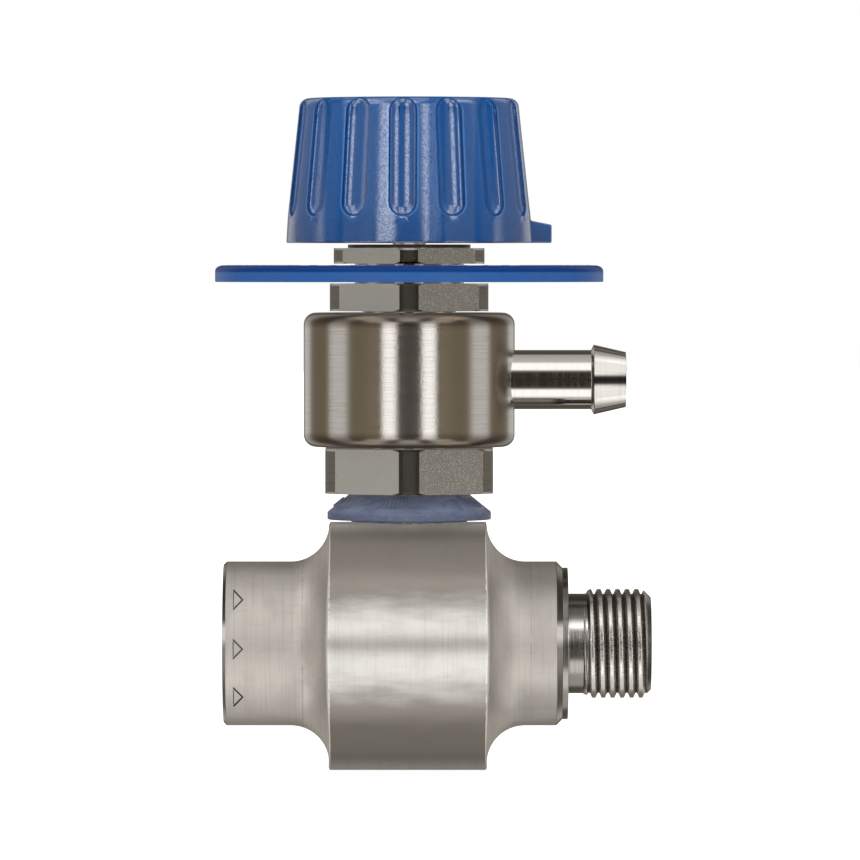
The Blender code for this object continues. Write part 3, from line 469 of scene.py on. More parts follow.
def blue_plastic(name, colour, roughness, grain_depth):
    """Moulded nylon with a fine, slightly cloudy grain."""
    finish = Finish(name, colour, roughness, 0.0, Specular_IOR_Level=0.35)
    grain = finish.noise(0.34, 3.0, 0.65)
    clouds = finish.noise(2.6, 3.0, 0.55)
    finish.tint(clouds.ramp(0.45, 0.75, 0.0, 0.25), dimmed(colour, 0.6))
    finish.tint(grain.ramp(0.5, 0.75, 0.0, 0.2), tuple(min(1, 1.5 * v + 0.03) for v in colour))
    finish.rough(grain.ramp(0.3, 0.7, roughness - 0.06, roughness + 0.08))
    finish.bump(clouds, 0.03)
    finish.bump(grain, grain_depth)
    return finish


def knob_blue():
    """The knob, speckled with gloss: each flute has a painted highlight along its outer side and
    painted shadow just inside its outline."""
    finish = blue_plastic("knob_blue_plastic", (0.002, 0.074, 0.275), 0.36, 0.05)
    across, along, up = finish.axes()
    turn = (across.node("ARCTAN2", along * -1.0) - FLUTE_PHASE).magnitude()
    off = turn.node("WRAP", pi / FLUTES, -pi / FLUTES)
    off = off * (across * across + along * along).node("SQRT")
    outer = off.ramp(-1.0, 2.0, 0.15, 1.0)
    past = (up * -1.0 + FLUTE_LOW_Z).at_least(up - FLUTE_HIGH_Z).at_least(0.0)
    reach = (off * off + past * past).node("SQRT")
    below_top = up.ramp(KNOB_HIGH.z - 2.4, KNOB_HIGH.z - 1.2, 1.0, 0.0)
    # Painted highlight on the outer edge of each flute's outline, and painted shadow just inside it.
    outline = reach.ramp(FLUTE_W, FLUTE_W + 0.1) * reach.ramp(FLUTE_W + 0.2, FLUTE_W + 0.55, 1.0, 0.0)
    inside = reach.ramp(FLUTE_W - 0.45, FLUTE_W - 0.15) * reach.ramp(FLUTE_W, FLUTE_W + 0.1, 1.0, 0.0)
    finish.tint(outline * below_top * outer * 0.5, (0.07, 0.27, 0.66))
    finish.tint(inside * below_top * 0.5, (0.0, 0.02, 0.12))
    side = across.magnitude()
    rubbed = across.ramp(3.2, 4.2) * across.ramp(6.4, 7.4, 1.0, 0.0)
    rubbed = rubbed + side.ramp(12.0, 13.0) * side.ramp(15.6, 16.8, 1.0, 0.0)
    gloss = (inside * -0.9 + 1.0) * (rubbed * along.ramp(-2.0, 2.0, -0.75, 0.0) + 1.0)
    speckle = finish.noise(0.3, 2.0, 0.6).ramp(0.36, 0.62, 0.35, 1.0)
    finish.vary("Coat Weight", gloss * speckle)
    finish.vary("Specular IOR Level", gloss * 0.22)
    finish.shader.inputs["Coat IOR"].default_value = 2.1
    finish.shader.inputs["Coat Roughness"].default_value = 0.13
    return finish.material


def dial_blue():
    """The dial, with painted shade on its bevelled upper edge."""
    finish = blue_plastic("dial_blue_plastic", (0.014, 0.09, 0.315), 0.45, 0.012)
    bevel_z = DIAL_HIGH.z - DIAL_BEVEL[0]
    bevel = finish.axes()[2].ramp(bevel_z - 0.4, bevel_z)
    # Painted shade on the bevel.
    finish.tint(bevel * 0.95, (0.0, 0.03, 0.17))
    finish.vary("Specular IOR Level", bevel * -0.2 + 0.3)
    return finish.material


def blue_elastomer():
    """The seal's soft, dusty blue, with painted light above its lower rim."""
    finish = Finish("blue_elastomer", (0.082, 0.102, 0.172), 0.55, 0.0)
    grain = finish.noise(0.5, 3.0, 0.6)
    clouds = finish.noise((3.0, 3.0, 1.2), 3.0)
    up = finish.axes()[2]
    # Painted light: the seal is lighter above its lower rim.
    finish.tint(up.ramp(SEAL_LOW.z + 1.2, SEAL_LOW.z + 2.6), (0.165, 0.20, 0.315))
    finish.tint(clouds.ramp(0.4, 0.7, 0.0, 0.6), (0.06, 0.09, 0.19))
    finish.tint(grain.ramp(0.55, 0.75, 0.0, 0.3), (0.28, 0.295, 0.37))
    finish.rough(clouds.ramp(0.3, 0.7, 0.46, 0.62))
    finish.bump(grain, 0.02)
    return finish.material


def black_rubber():
    finish = Finish("black_rubber", (0.018, 0.018, 0.02), 0.5, 0.0)
    grain = finish.noise(0.4, 3.0)
    finish.rough(grain.ramp(0.3, 0.7, 0.42, 0.6))
    finish.bump(grain, 0.01)
    return finish.material


def plain_metal(name, colour, roughness, mark_axis="Z"):
    """Inner pieces: turned metal with faint marks."""
    finish = Finish(name, colour, roughness, 1.0)
    lines = finish.noise(tool_marks(mark_axis, 0.2), 3.0)
    finish.tint(lines.ramp(0.5, 0.8, 0.0, 0.3), dimmed(colour, 0.6))
    finish.rough(lines.ramp(0.3, 0.7, roughness - 0.04, roughness + 0.08))
    return finish.material


def scale_print():
    finish = Finish("scale_print", (0.78, 0.80, 0.82), 0.5, 0.0)
    wear = finish.noise(0.8, 4.0, 0.6)
    finish.tint(wear.ramp(0.55, 0.8, 0.0, 0.35), (0.35, 0.45, 0.62))
    finish.rough(wear.ramp(0.3, 0.7, 0.42, 0.6))
    return finish.material


BLOCK_STEEL = block_steel()
BARREL_STEEL = barrel_steel()
RING_STEEL = ring_steel()
NECK_STEEL = neck_steel()
TAIL_STEEL = tail_steel()
THREAD_STEEL = thread_steel()
FLAT_STEEL = blasted_steel()
LAND_STEEL = land_steel()
INNER_STEEL = plain_metal("inner_stainless", (0.56, 0.55, 0.53), 0.3)
NOZZLE_STEEL = plain_metal("nozzle_stainless", (0.56, 0.55, 0.53), 0.25, "X")
SPRING_STEEL = plain_metal("spring_steel", (0.45, 0.44, 0.42), 0.3)
BUSH_BRASS = plain_metal("brass", (0.72, 0.52, 0.24), 0.28)
KNOB_BLUE = knob_blue()
DIAL_BLUE = dial_blue()
SEAL_BLUE = blue_elastomer()
RUBBER = black_rubber()
PRINT = scale_print()
ENGRAVED = plain_metal("engraved_stainless", (0.10, 0.092, 0.08), 0.45)


# Making meshes.


def arc(centre, radius, start, end, steps):
    """Points on a circular arc, from one angle to another."""
    angles = [start + (end - start) * step / steps for step in range(steps + 1)]
    return [(centre[0] + radius * cos(a), centre[1] + radius * sin(a)) for a in angles]


def eased(first, corner, last, share):
    """A point on the curve from first to last that a corner pulls outwards."""
    return first * (1 - share) ** 2 + corner * 2 * share * (1 - share) + last * share**2


def bend(before, corner, after, radius, steps=4):
    """A corner as a small arc, with a point each side that keeps the faces beside it flat."""
    before, corner, after = Vector(before), Vector(corner), Vector(after)
    back, ahead = before - corner, after - corner
    if back.length < WELD or ahead.length < WELD:
        return [tuple(corner)]
    turn = pi - back.angle(ahead)
    trim = min(radius * tan(turn / 2), 0.3 * back.length, 0.3 * ahead.length)
    if turn < radians(20) or trim < 4 * WELD:
        return [tuple(corner)]
    back.normalize()
    ahead.normalize()
    first, last = corner + back * trim, corner + ahead * trim
    points = [corner + back * trim * 1.5]
    points += [eased(first, corner, last, step / steps) for step in range(steps + 1)]
    points.append(corner + ahead * trim * 1.5)
    return [tuple(point) for point in points]


def softened(outline, radius, closed=True):
    """An outline with its sharp corners rounded."""
    points = []
    for index, point in enumerate(outline):
        if not closed and index in (0, len(outline) - 1):
            points.append(point)
            continue
        after = outline[(index + 1) % len(outline)]
        points += bend(outline[index - 1], point, after, radius)
    return points


def loft(bm, rings, closed=False, slots=None):
    """Quads between rings of equal point counts. A closed loft joins the last ring to the first,
    and an open one closes its two ends."""
    loops = [[bm.verts.new(point) for point in ring] for ring in rings]
    pairs = list(zip(loops, loops[1:])) + ([(loops[-1], loops[0])] if closed else [])
    for row, (lower, upper) in enumerate(pairs):
        for index, vert in enumerate(lower):
            after = (index + 1) % len(lower)
            face = bm.faces.new((vert, lower[after], upper[after], upper[index]))
            if slots is not None:
                face.material_index = slots(row, index)
    if not closed:
        bm.faces.new(loops[0][::-1])
        bm.faces.new(loops[-1])


def turned_ring(along, radius, axis, centre, columns):
    """One ring of points round an axis through the centre."""
    ring = []
    for column in range(columns):
        angle = 2 * pi * column / columns
        if axis == Z_AXIS:
            offset = Vector((radius * sin(angle), -radius * cos(angle), along))
        else:
            offset = Vector((along, radius * cos(angle), radius * sin(angle)))
        ring.append(centre + offset)
    return ring


def as_piece(name, bm, materials, sharp=30):
    """An object at the origin, in metres, from a bmesh in millimetres."""
    bmesh.ops.remove_doubles(bm, verts=bm.verts, dist=WELD)
    bmesh.ops.recalc_face_normals(bm, faces=bm.faces)
    bmesh.ops.scale(bm, verts=bm.verts, vec=(MM, MM, MM))
    mesh = bpy.data.meshes.new(name)
    bm.to_mesh(mesh)
    bm.free()
    for material in materials:
        mesh.materials.append(material)
    piece = bpy.data.objects.new(name, mesh)
    bpy.context.scene.collection.objects.link(piece)
    smooth(piece, sharp)
    return piece


def smooth(piece, sharp):
    piece.data.shade_smooth()
    piece.data.set_sharp_from_angle(angle=radians(sharp))
    return piece


def evaluated(piece, sharp=30):
    """The piece with its modifiers applied, in place of the piece."""
    name = piece.name
    graph = bpy.context.evaluated_depsgraph_get()
    mesh = bpy.data.meshes.new_from_object(piece.evaluated_get(graph), depsgraph=graph)
    for material in piece.data.materials:
        if material.name not in mesh.materials:
            mesh.materials.append(material)
    bpy.data.objects.remove(piece)
    mesh.name = name
    made = bpy.data.objects.new(name, mesh)
    bpy.context.scene.collection.objects.link(made)
    return smooth(made, sharp)


def cut(piece, tool):
    """Takes a tool's shape out of a piece."""
    modifier = piece.modifiers.new("cut", "BOOLEAN")
    modifier.operation = "DIFFERENCE"
    modifier.material_mode = "TRANSFER"
    modifier.object = tool
    made = evaluated(piece)
    bpy.data.objects.remove(tool)
    return made


def place(piece, body, slot, *nodes):
    """Hands a finished piece to the frame."""
    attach(piece, body)
    if nodes:
        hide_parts(*nodes)
    return piece


def matt(piece):
    """Keeps a piece out of the reflections in the steel round it."""
    piece.visible_glossy = False
    return piece


def turned(name, outline, material, axis=Z_AXIS, centre=(0, 0, 0), columns=FINE, soft=0.15):
    """A solid of revolution from a closed outline of (along, radius) points."""
    bm = bmesh.new()
    centre = Vector(centre)
    points = softened(outline, soft) if soft else outline
    rings = [turned_ring(along, radius, axis, centre, columns) for along, radius in points]
    loft(bm, rings, closed=True)
    return as_piece(name, bm, [material])


def turned_plug(name, outline, material, soft):
    """A solid of revolution about Z whose outline starts and ends on the axis."""
    bm = bmesh.new()
    points = softened(outline, soft, closed=False)[1:-1]
    rings = [turned_ring(z, radius, Z_AXIS, Vector(), SMALL) for z, radius in points]
    loft(bm, rings)
    return as_piece(name, bm, [material])


# Repeats, as Geometry Nodes.


def vector_of(tree, fields):
    """A vector from three fields, where None stands for 0."""
    node = tree.nodes.new("ShaderNodeCombineXYZ")
    for socket, field in zip(node.inputs, fields):
        if field is not None:
            tree.links.new(field.socket, socket)
    return node.outputs[0]


def repeat_tree(name, turning):
    """A tree that copies what comes in, Count times, each copy a Step further on: turned about Z by
    that angle, or moved up Z by that length."""
    tree = bpy.data.node_groups.new(name, "GeometryNodeTree")
    tree.interface.new_socket("Geometry", in_out="OUTPUT", socket_type="NodeSocketGeometry")
    inputs = {"Geometry": "Geometry", "Count": "Int", "Step": "Float", "Material": "Material"}
    for label, kind in inputs.items():
        tree.interface.new_socket(label, in_out="INPUT", socket_type="NodeSocket" + kind)
    nodes, links = tree.nodes, tree.links
    start = nodes.new("NodeGroupInput")
    end = nodes.new("NodeGroupOutput")
    points = nodes.new("GeometryNodePoints")
    index = nodes.new("GeometryNodeInputIndex")
    instance = nodes.new("GeometryNodeInstanceOnPoints")
    realize = nodes.new("GeometryNodeRealizeInstances")
    weld = nodes.new("GeometryNodeMergeByDistance")
    paint = nodes.new("GeometryNodeSetMaterial")
    weld.inputs["Distance"].default_value = WELD * MM
    travel = Field(tree, index.outputs[0]) * Field(tree, start.outputs["Step"])
    moved = instance.inputs["Rotation"] if turning else points.inputs["Position"]
    links.new(vector_of(tree, (None, None, travel)), moved)
    links.new(start.outputs["Count"], points.inputs["Count"])
    links.new(points.outputs[0], instance.inputs["Points"])
    links.new(start.outputs["Geometry"], instance.inputs["Instance"])
    links.new(instance.outputs[0], realize.inputs[0])
    links.new(realize.outputs[0], weld.inputs["Geometry"])
    links.new(weld.outputs[0], paint.inputs["Geometry"])
    links.new(start.outputs["Material"], paint.inputs["Material"])
    links.new(paint.outputs[0], end.inputs[0])
    return tree


AROUND = repeat_tree("copies_round_the_valve", turning=True)
IN_A_ROW = repeat_tree("copies_in_a_row", turning=False)


def repeated(piece, tree, count, step, sharp=30):
    """The piece copied by one of the trees, as a plain mesh."""
    modifier = piece.modifiers.new("copies", "NODES")
    modifier.node_group = tree
    values = {"Count": count, "Step": step, "Material": piece.data.materials[0]}
    for label, value in values.items():
        modifier[tree.interface.items_tree[label].identifier] = value
    return evaluated(piece, sharp)


def around(piece, count, step=None, sharp=30):
    """The piece copied round the valve's axis, evenly all the way round unless a step is given."""
    return repeated(piece, AROUND, count, 2 * pi / count if step is None else step, sharp)


# The injector's body.


def bar_section():
    """The bar's section about the flow axis, as (y, z), anticlockwise from the bottom."""
    centre_z = FLOW_Z - CORNER_R
    reach = centre_z / sin(CROWN_HALF_ANGLE)
    crown_r = CORNER_R + reach
    crown_y = HALF_DEPTH - crown_r
    centre_y = crown_y + reach * cos(CROWN_HALF_ANGLE)
    milled = asin((SEAT_Z - FLOW_Z - centre_z) / CORNER_R)
    blend = CROWN_HALF_ANGLE
    right = arc((centre_y, -centre_z), CORNER_R, radians(-90), -blend, 18)
    right += arc((crown_y, 0), crown_r, -blend, blend, 40)[1:]
    right += arc((centre_y, centre_z), CORNER_R, blend, milled, 12)[1:]
    left = [(-y, z) for y, z in reversed(right)]
    seat_y, seat_z = right[-1]
    seat = [(seat_y * (1 - 2 * k / 12), seat_z) for k in range(1, 12)]
    base = [(-centre_y * (1 - 2 * k / 4), -FLOW_Z) for k in range(1, 4)]
    return right + seat + left + base


def flank(section_r):
    """The profile from a barrel up the fillet and over the block's broken edge, as (out, radius):
    out is the distance outside the block's end face."""
    top_r = min(section_r, BARREL_R + FILLET_R)
    sweep = acos(1 - (top_r - BARREL_R) / FILLET_R)
    reach = min(top_r, section_r - EDGE_BREAK * sin(sweep)) - BARREL_R
    end = acos(1 - reach / FILLET_R)
    points = []
    for step in range(25):
        angle = end * step / 24
        points.append((FILLET_R * (1 - sin(angle)), BARREL_R + FILLET_R * (1 - cos(angle))))
    corner = Vector((FILLET_R * (1 - sin(sweep)), section_r))
    rise = Vector((-cos(sweep), sin(sweep)))
    low = Vector(points[-1])
    high = corner - rise * EDGE_BREAK
    inner = corner + Vector((-EDGE_BREAK, 0))
    points += [tuple(low.lerp(high, share)) for share in (1 / 3, 2 / 3)]
    points += [tuple(eased(high, corner, inner, step / 4)) for step in range(5)]
    points.append((inner.x - 0.3, section_r))
    return points


INLET_END = [
    (CHAMBER_X, NOZZLE_BORE_R),
    (INLET_X + SOCKET_DEPTH, NOZZLE_BORE_R),
    (INLET_X + SOCKET_DEPTH, SOCKET_MOUTH_R),
    (INLET_X, SOCKET_MOUTH_R),
    (INLET_X, BARREL_R - RIM_CHAMFER),
    (INLET_X + RIM_CHAMFER, BARREL_R),
    (INLET_X + 6.0, BARREL_R),
]
OUTLET_END = [
    (SHOULDER_X - 3.0, BARREL_R),
    (SHOULDER_X, BARREL_R),
    (LIP_X, BARREL_R - 1.1),
    (LIP_X, LIP_R),
    (NECK_X, LIP_R),
    (NECK_X, NECK_R),
    (THREAD_X + 0.6, NECK_R),
    (THREAD_X + 0.6, OUTLET_BORE_R),
    (CHAMBER_X, OUTLET_BORE_R),
]


def body_end(outline):
    """The turned outline of one end of the body, with its corners rounded."""
    return softened(outline, 0.12, closed=False)


def body_column(section_r):
    """The stations of one column of the body, as (x, radius), from the bore round to the bore."""
    side = flank(section_r)
    left = [(BLOCK_X[0] - out, radius) for out, radius in side]
    right = [(BLOCK_X[1] + out, radius) for out, radius in reversed(side)]
    middle = [
        (left[-1][0] + (right[0][0] - left[-1][0]) * share / 4, section_r) for share in (1, 2, 3)
    ]
    return body_end(INLET_END) + left + middle + right + body_end(OUTLET_END)


def stroke(bm, path, width):
    """A thin upright slab along a path of (x, z), as a cutter over the front of the barrel."""
    path = [Vector(point) for point in path]
    rings = []
    for index, point in enumerate(path):
        before = (point - path[index - 1]).normalized() if index else None
        after = (path[index + 1] - point).normalized() if index + 1 < len(path) else None
        run = ((before or after) + (after or before)).normalized()
        side = Vector((-run.y, run.x)) * width / 2 / run.dot(after or before)
        rings.append(
            [
                Vector((point.x + side.x * u, -depth, point.y + side.y * u))
                for u, depth in ((-1, 9), (1, 9), (1, 17), (-1, 17))
            ]
        )
    loft(bm, rings)


def arrow_cutter():
    """An outlined arrowhead that points along the flow."""
    base_x, tip_x, half = INLET_X + 2.1, INLET_X + 3.9, 1.85
    bm = bmesh.new()
    stroke(bm, [(base_x, half), (tip_x, 0), (base_x, -half)], 0.3)
    stroke(bm, [(base_x + 0.05, -half + 0.4), (base_x + 0.05, half - 0.4)], 0.17)
    return bm


def flow_arrows():
    """Three arrowheads, one above the other, engraved to an even depth in the round barrel."""
    spacing, middle_z, depth = 9.3, FLOW_Z - 0.4, 0.28
    bm = arrow_cutter()
    bmesh.ops.translate(bm, verts=bm.verts, vec=(0, 0, middle_z - spacing))
    row = repeated(as_piece("flow_arrows", bm, [ENGRAVED]), IN_A_ROW, 3, spacing * MM)
    core = turned_core(BARREL_R - depth)
    return cut(row, core)


def turned_core(radius):
    """A plain round bar through the inlet barrel."""
    bm = bmesh.new()
    centre = Vector((0, 0, FLOW_Z))
    rings = [
        turned_ring(x, radius, X_AXIS, centre, 2 * FINE) for x in (INLET_X - 2, BLOCK_X[0])
    ]
    loft(bm, rings)
    return as_piece("core", bm, [ENGRAVED])


def injector_block():
    """The block and barrels as columns round the flow axis, one for each point of the bar's section.
    Its faces take the bar's finish, the barrels' or the bright one of the rims, lip and neck."""
    section = bar_section()
    columns = [(Vector(point).normalized(), Vector(point).length) for point in section]
    profiles = [body_column(radius) for _, radius in columns]
    rings = []
    for row in range(len(profiles[0])):
        ring = []
        for (direction, _), profile in zip(columns, profiles):
            x, radius = profile[row]
            ring.append(Vector((x, radius * direction.x, FLOW_Z + radius * direction.y)))
        rings.append(ring)
    flank_rows = len(flank(columns[0][1]))
    inlet_rows = len(body_end(INLET_END))
    bar_rows = range(inlet_rows + flank_rows - 4, inlet_rows + flank_rows + 6)
    bright_row = inlet_rows + 2 * flank_rows + 4

    def finish_of(row, column):
        low, high = profiles[column][row], profiles[column][(row + 1) % len(rings)]
        on_bar = min(low[1], high[1]) > columns[column][1] - 0.02
        if on_bar and row in bar_rows:
            return 0
        on_rim = high[0] < INLET_X + 0.65 and low[1] > SOCKET_MOUTH_R + 2
        return 2 if row >= bright_row or on_rim else 1

    bm = bmesh.new()
    loft(bm, rings, closed=True, slots=finish_of)
    block = as_piece("injector_block", bm, [BLOCK_STEEL, BARREL_STEEL, NECK_STEEL])
    block = cut(block, flow_arrows())
    port = [(FLOW_Z, 0), (FLOW_Z, PORT_R), (SEAT_Z + 1, PORT_R), (SEAT_Z + 1, 0)]
    block = cut(block, turned_plug("port", port, BLOCK_STEEL, soft=0))
    return place(block, "body", "turned_stainless", "injector_body")


def thread_sleeve(name, start, end, wall_r, crest_r, root_r, clip):
    """A helical thread round the flow axis, as a sleeve from a plain wall to the thread's surface.
    Clip bounds the radius at each end, by the distance along the axis."""
    columns, rows_per_turn = FINE, 10
    turns = ceil((end - start) / PIPE_PITCH) + 4
    bm = bmesh.new()
    centre = Vector((0, 0, FLOW_Z))

    def radius_at(share):
        """A rounded vee across one pitch."""
        vee = 1 - abs(2 * share - 1)
        flank_r = root_r + (crest_r - root_r) * min(1, max(0, (vee - 0.12) / 0.5))
        ease = 0.5 - 0.5 * cos(pi * (flank_r - root_r) / (crest_r - root_r))
        return 0.5 * flank_r + 0.5 * (root_r + (crest_r - root_r) * ease)

    def vertex(column, row):
        share = row % rows_per_turn / rows_per_turn
        along = start + (row / rows_per_turn - 2 + column / columns) * PIPE_PITCH
        along = min(max(along, start), end)
        radius = clip(along, radius_at(share))
        angle = 2 * pi * column / columns
        return bm.verts.new(centre + Vector((along, radius * cos(angle), radius * sin(angle))))

    rows = turns * rows_per_turn
    grid = [[vertex(column, row) for row in range(rows)] for column in range(columns)]
    for column in range(columns):
        shift = rows_per_turn if column == columns - 1 else 0
        beside = grid[(column + 1) % columns]
        for row in range(rows - 1 - shift):
            corners = (
                grid[column][row],
                grid[column][row + 1],
                beside[row + 1 + shift],
                beside[row + shift],
            )
            bm.faces.new(corners)
    bmesh.ops.remove_doubles(bm, verts=bm.verts, dist=WELD)
    rims = [edge for edge in bm.edges if edge.is_boundary]
    walls = []
    for x in (start, end):
        ring = [bm.verts.new(point) for point in turned_ring(x, wall_r, X_AXIS, centre, columns)]
        walls.append([bm.edges.new(pair) for pair in zip(ring, ring[1:] + ring[:1])])
    middle = (start + end) / 2
    near_rim = [edge for edge in rims if edge.verts[0].co.x < middle]
    far_rim = [edge for edge in rims if edge.verts[0].co.x >= middle]
    bmesh.ops.bridge_loops(bm, edges=near_rim + walls[0])
    bmesh.ops.bridge_loops(bm, edges=far_rim + walls[1])
    bmesh.ops.bridge_loops(bm, edges=walls[0] + walls[1])
    return as_piece(name, bm, [THREAD_STEEL], sharp=50)


def outlet_thread():
    start = THREAD_X - 0.5

    def clip(along, radius):
        fade = min(1, max(0, (along - start) / (0.8 * PIPE_PITCH)))
        radius = PIPE_R[1] + (radius - PIPE_R[1]) * fade
        return min(radius, THREAD_END_R + (OUTLET_X - along))

    sleeve = thread_sleeve(
        "outlet_thread", start, OUTLET_X, OUTLET_BORE_R, PIPE_R[2], PIPE_R[1], clip
    )
    return place(sleeve, "body", "turned_stainless")


def inlet_thread():
    start, end = INLET_X + 0.05, INLET_X + SOCKET_DEPTH - 0.5
    crest_r, root_r = PIPE_R[0], PIPE_R[2] - 0.1

    def clip(along, radius):
        return max(radius, SOCKET_MOUTH_R - (along - start))

    wall_r = SOCKET_MOUTH_R + 0.05
    sleeve = thread_sleeve("inlet_thread", start, end, wall_r, crest_r, root_r, clip)
    return place(sleeve, "body", "turned_stainless")


def jet_nozzle():
    shank_r = NOZZLE_BORE_R - PIECE_GAP
    jet_r, funnel_end_x, cone_x = 1.1, -10.0, -6.5
    outline = [
        (NOZZLE_LOW.x, 4.2),
        (NOZZLE_LOW.x, NOZZLE_HIGH.y),
        (NOZZLE_LOW.x + 2.5, NOZZLE_HIGH.y),
        (NOZZLE_LOW.x + 2.5, shank_r),
        (cone_x, shank_r),
        (NOZZLE_HIGH.x, 2.6),
        (NOZZLE_HIGH.x, jet_r),
        (funnel_end_x, jet_r),
    ]
    piece = turned("jet_nozzle_turned", outline, NOZZLE_STEEL, X_AXIS, (0, 0, FLOW_Z), SMALL)
    return place(piece, "body", "turned_stainless", "jet_nozzle")


def diffuser_tube():
    throat_r, throat_x = 1.5, (11.0, 15.0)
    outline = [
        (TUBE_LOW.x, 4.8),
        (TUBE_LOW.x, TUBE_HIGH.y),
        (TUBE_HIGH.x, TUBE_HIGH.y),
        (TUBE_HIGH.x, 4.4),
        (throat_x[1], throat_r),
        (throat_x[0], throat_r),
    ]
    piece = turned("diffuser_tube_turned", outline, NOZZLE_STEEL, X_AXIS, (0, 0, FLOW_Z), SMALL)
    return place(piece, "body", "turned_stainless", "diffuser_tube")


# The seal under the valve.


SEAL_RIM_Z = (SEAL_LOW.z + 0.4, SEAL_LOW.z + 1.9)
SEAL_TOP_R = 11.65


def profile_seal():
    land_r, rim_r = 11.2, SEAL_HIGH.x
    outline = [
        (SEAL_LOW.z, PORT_R + PIECE_GAP),
        (SEAL_LOW.z, land_r),
        (SEAL_RIM_Z[0], land_r),
        (SEAL_RIM_Z[0], rim_r),
        (SEAL_RIM_Z[1], rim_r),
        (SEAL_HIGH.z, SEAL_TOP_R),
        (SEAL_HIGH.z, PORT_R + PIECE_GAP),
    ]
    piece = turned("moulded_seal", outline, SEAL_BLUE, soft=0.3)
    return matt(place(piece, "body", "blue_elastomer", "profile_seal"))


def seal_ribs():
    """Groups of short moulded ribs up the seal's cone."""
    fall = SEAL_HIGH.z - SEAL_RIM_Z[1]
    spread = SEAL_HIGH.x - SEAL_TOP_R
    outwards = Vector((0, -fall, spread)).normalized() * 0.32
    side = Vector((0.15, 0, 0))
    bm = bmesh.new()
    rings = []
    for share in (0.22, 0.7):
        point = Vector((0, -SEAL_TOP_R - spread * share, SEAL_HIGH.z - fall * share))
        foot, crest = point - outwards, point + outwards
        rings.append([foot - side, foot + side, crest + side * 0.6, crest - side * 0.6])
    loft(bm, rings)
    bmesh.ops.transform(bm, matrix=Matrix.Rotation(radians(-22), 4, "Z"), verts=bm.verts)
    group = around(as_piece("seal_ribs", bm, [SEAL_BLUE]), 8, radians(3.2))
    ribs = around(group, 5)
    return matt(place(ribs, "body", "blue_elastomer"))


# Hexagons.


HEX_COLUMNS = 16  # columns of one sixth of a hexagon
HEX_LAND_COLUMNS = 6


def hex_columns():
    """The angles of a hexagon's columns: the land at each corner, then the flat after it."""
    flat_columns = HEX_COLUMNS - HEX_LAND_COLUMNS
    land, flat = 2 * HEX_LAND_ANGLE, radians(60) - 2 * HEX_LAND_ANGLE
    angles = []
    for corner in range(6):
        start = radians(60 * corner) - HEX_LAND_ANGLE
        angles += [start + land * k / HEX_LAND_COLUMNS for k in range(HEX_LAND_COLUMNS)]
        angles += [start + land + flat * k / flat_columns for k in range(flat_columns)]
    return angles


def hex_r(angle, across_flats):
    """The radius of a hexagon that has one corner towards -Y."""
    from_flat = (angle + radians(30)) % radians(60) - radians(30)
    return across_flats / 2 / cos(radians(30) - abs(from_flat))


def hexagon_piece(name, across_flats, bottom, top, above, below):
    """A hexagon turned on its corners, with turned outlines (z, radius) above and below it."""
    blank_r = across_flats / 2 / cos(radians(30) - HEX_LAND_ANGLE)
    face_r = blank_r - HEX_CHAMFER
    slope = tan(radians(38))
    angles = hex_columns()
    above, below = softened(above, 0.12, closed=False), softened(below, 0.12, closed=False)
    profiles = []
    for angle in angles:
        radius = min(hex_r(angle, across_flats), blank_r)
        drop = max(0, radius - face_r) * slope
        inner_r = min(radius, face_r) - 0.4
        profiles.append(
            [
                (bottom, inner_r),
                (bottom, min(radius, face_r)),
                (bottom + drop, radius),
                (bottom + drop + 0.12, radius),
                (top - drop - 0.12, radius),
                (top - drop, radius),
                (top, min(radius, face_r)),
                (top, inner_r),
            ]
        )
    hex_rows = len(profiles[0])
    rings = [[(z, r)] * len(angles) for z, r in below]
    rings += [[profile[row] for profile in profiles] for row in range(hex_rows)]
    rings += [[(z, r)] * len(angles) for z, r in above]
    points = [
        [Vector((r * sin(a), -r * cos(a), z)) for a, (z, r) in zip(angles, ring)] for ring in rings
    ]
    first_flat = len(below) + 2
    last_flat = first_flat + 3

    def finish_of(row, column):
        on_flat = column % HEX_COLUMNS >= HEX_LAND_COLUMNS and first_flat <= row < last_flat
        return 0 if on_flat else 1

    bm = bmesh.new()
    loft(bm, points, closed=True, slots=finish_of)
    return as_piece(name, bm, [FLAT_STEEL, LAND_STEEL], sharp=14)


def hollow_screw():
    hex_z = SEAL_HIGH.z + PIECE_GAP
    hex_top_z = RING_LOW.z - PIECE_GAP
    bore_r = 4.0
    above = [
        (hex_top_z, STEM_R),
        (BONNET_LOW.z, STEM_R),
        (BONNET_LOW.z, STEM_R - 2),
        (SCREW_HIGH.z, STEM_R - 2),
        (SCREW_HIGH.z, 5.3),
        (72.0, 5.3),
        (71.0, bore_r),
    ]
    below = [
        (SCREW_LOW.z, bore_r),
        (SCREW_LOW.z, PORT_R - PIECE_GAP),
        (hex_z, PORT_R - PIECE_GAP),
    ]
    piece = hexagon_piece("hollow_screw_hexagon", SCREW_HEX_AF, hex_z, hex_top_z, above, below)
    return matt(place(piece, "body", "blasted_stainless", "hollow_screw"))


def valve_bonnet():
    top_z = DIAL_LOW.z - PIECE_GAP
    above = [(top_z, BOSS_R), (BONNET_HIGH.z, BOSS_R), (BONNET_HIGH.z, 4.7)]
    below = [(BONNET_LOW.z, STEM_R - 1.7)]
    piece = hexagon_piece("bonnet_hexagon", BONNET_HEX_AF, BONNET_LOW.z, top_z, above, below)
    return place(piece, "body", "blasted_stainless", "valve_bonnet")


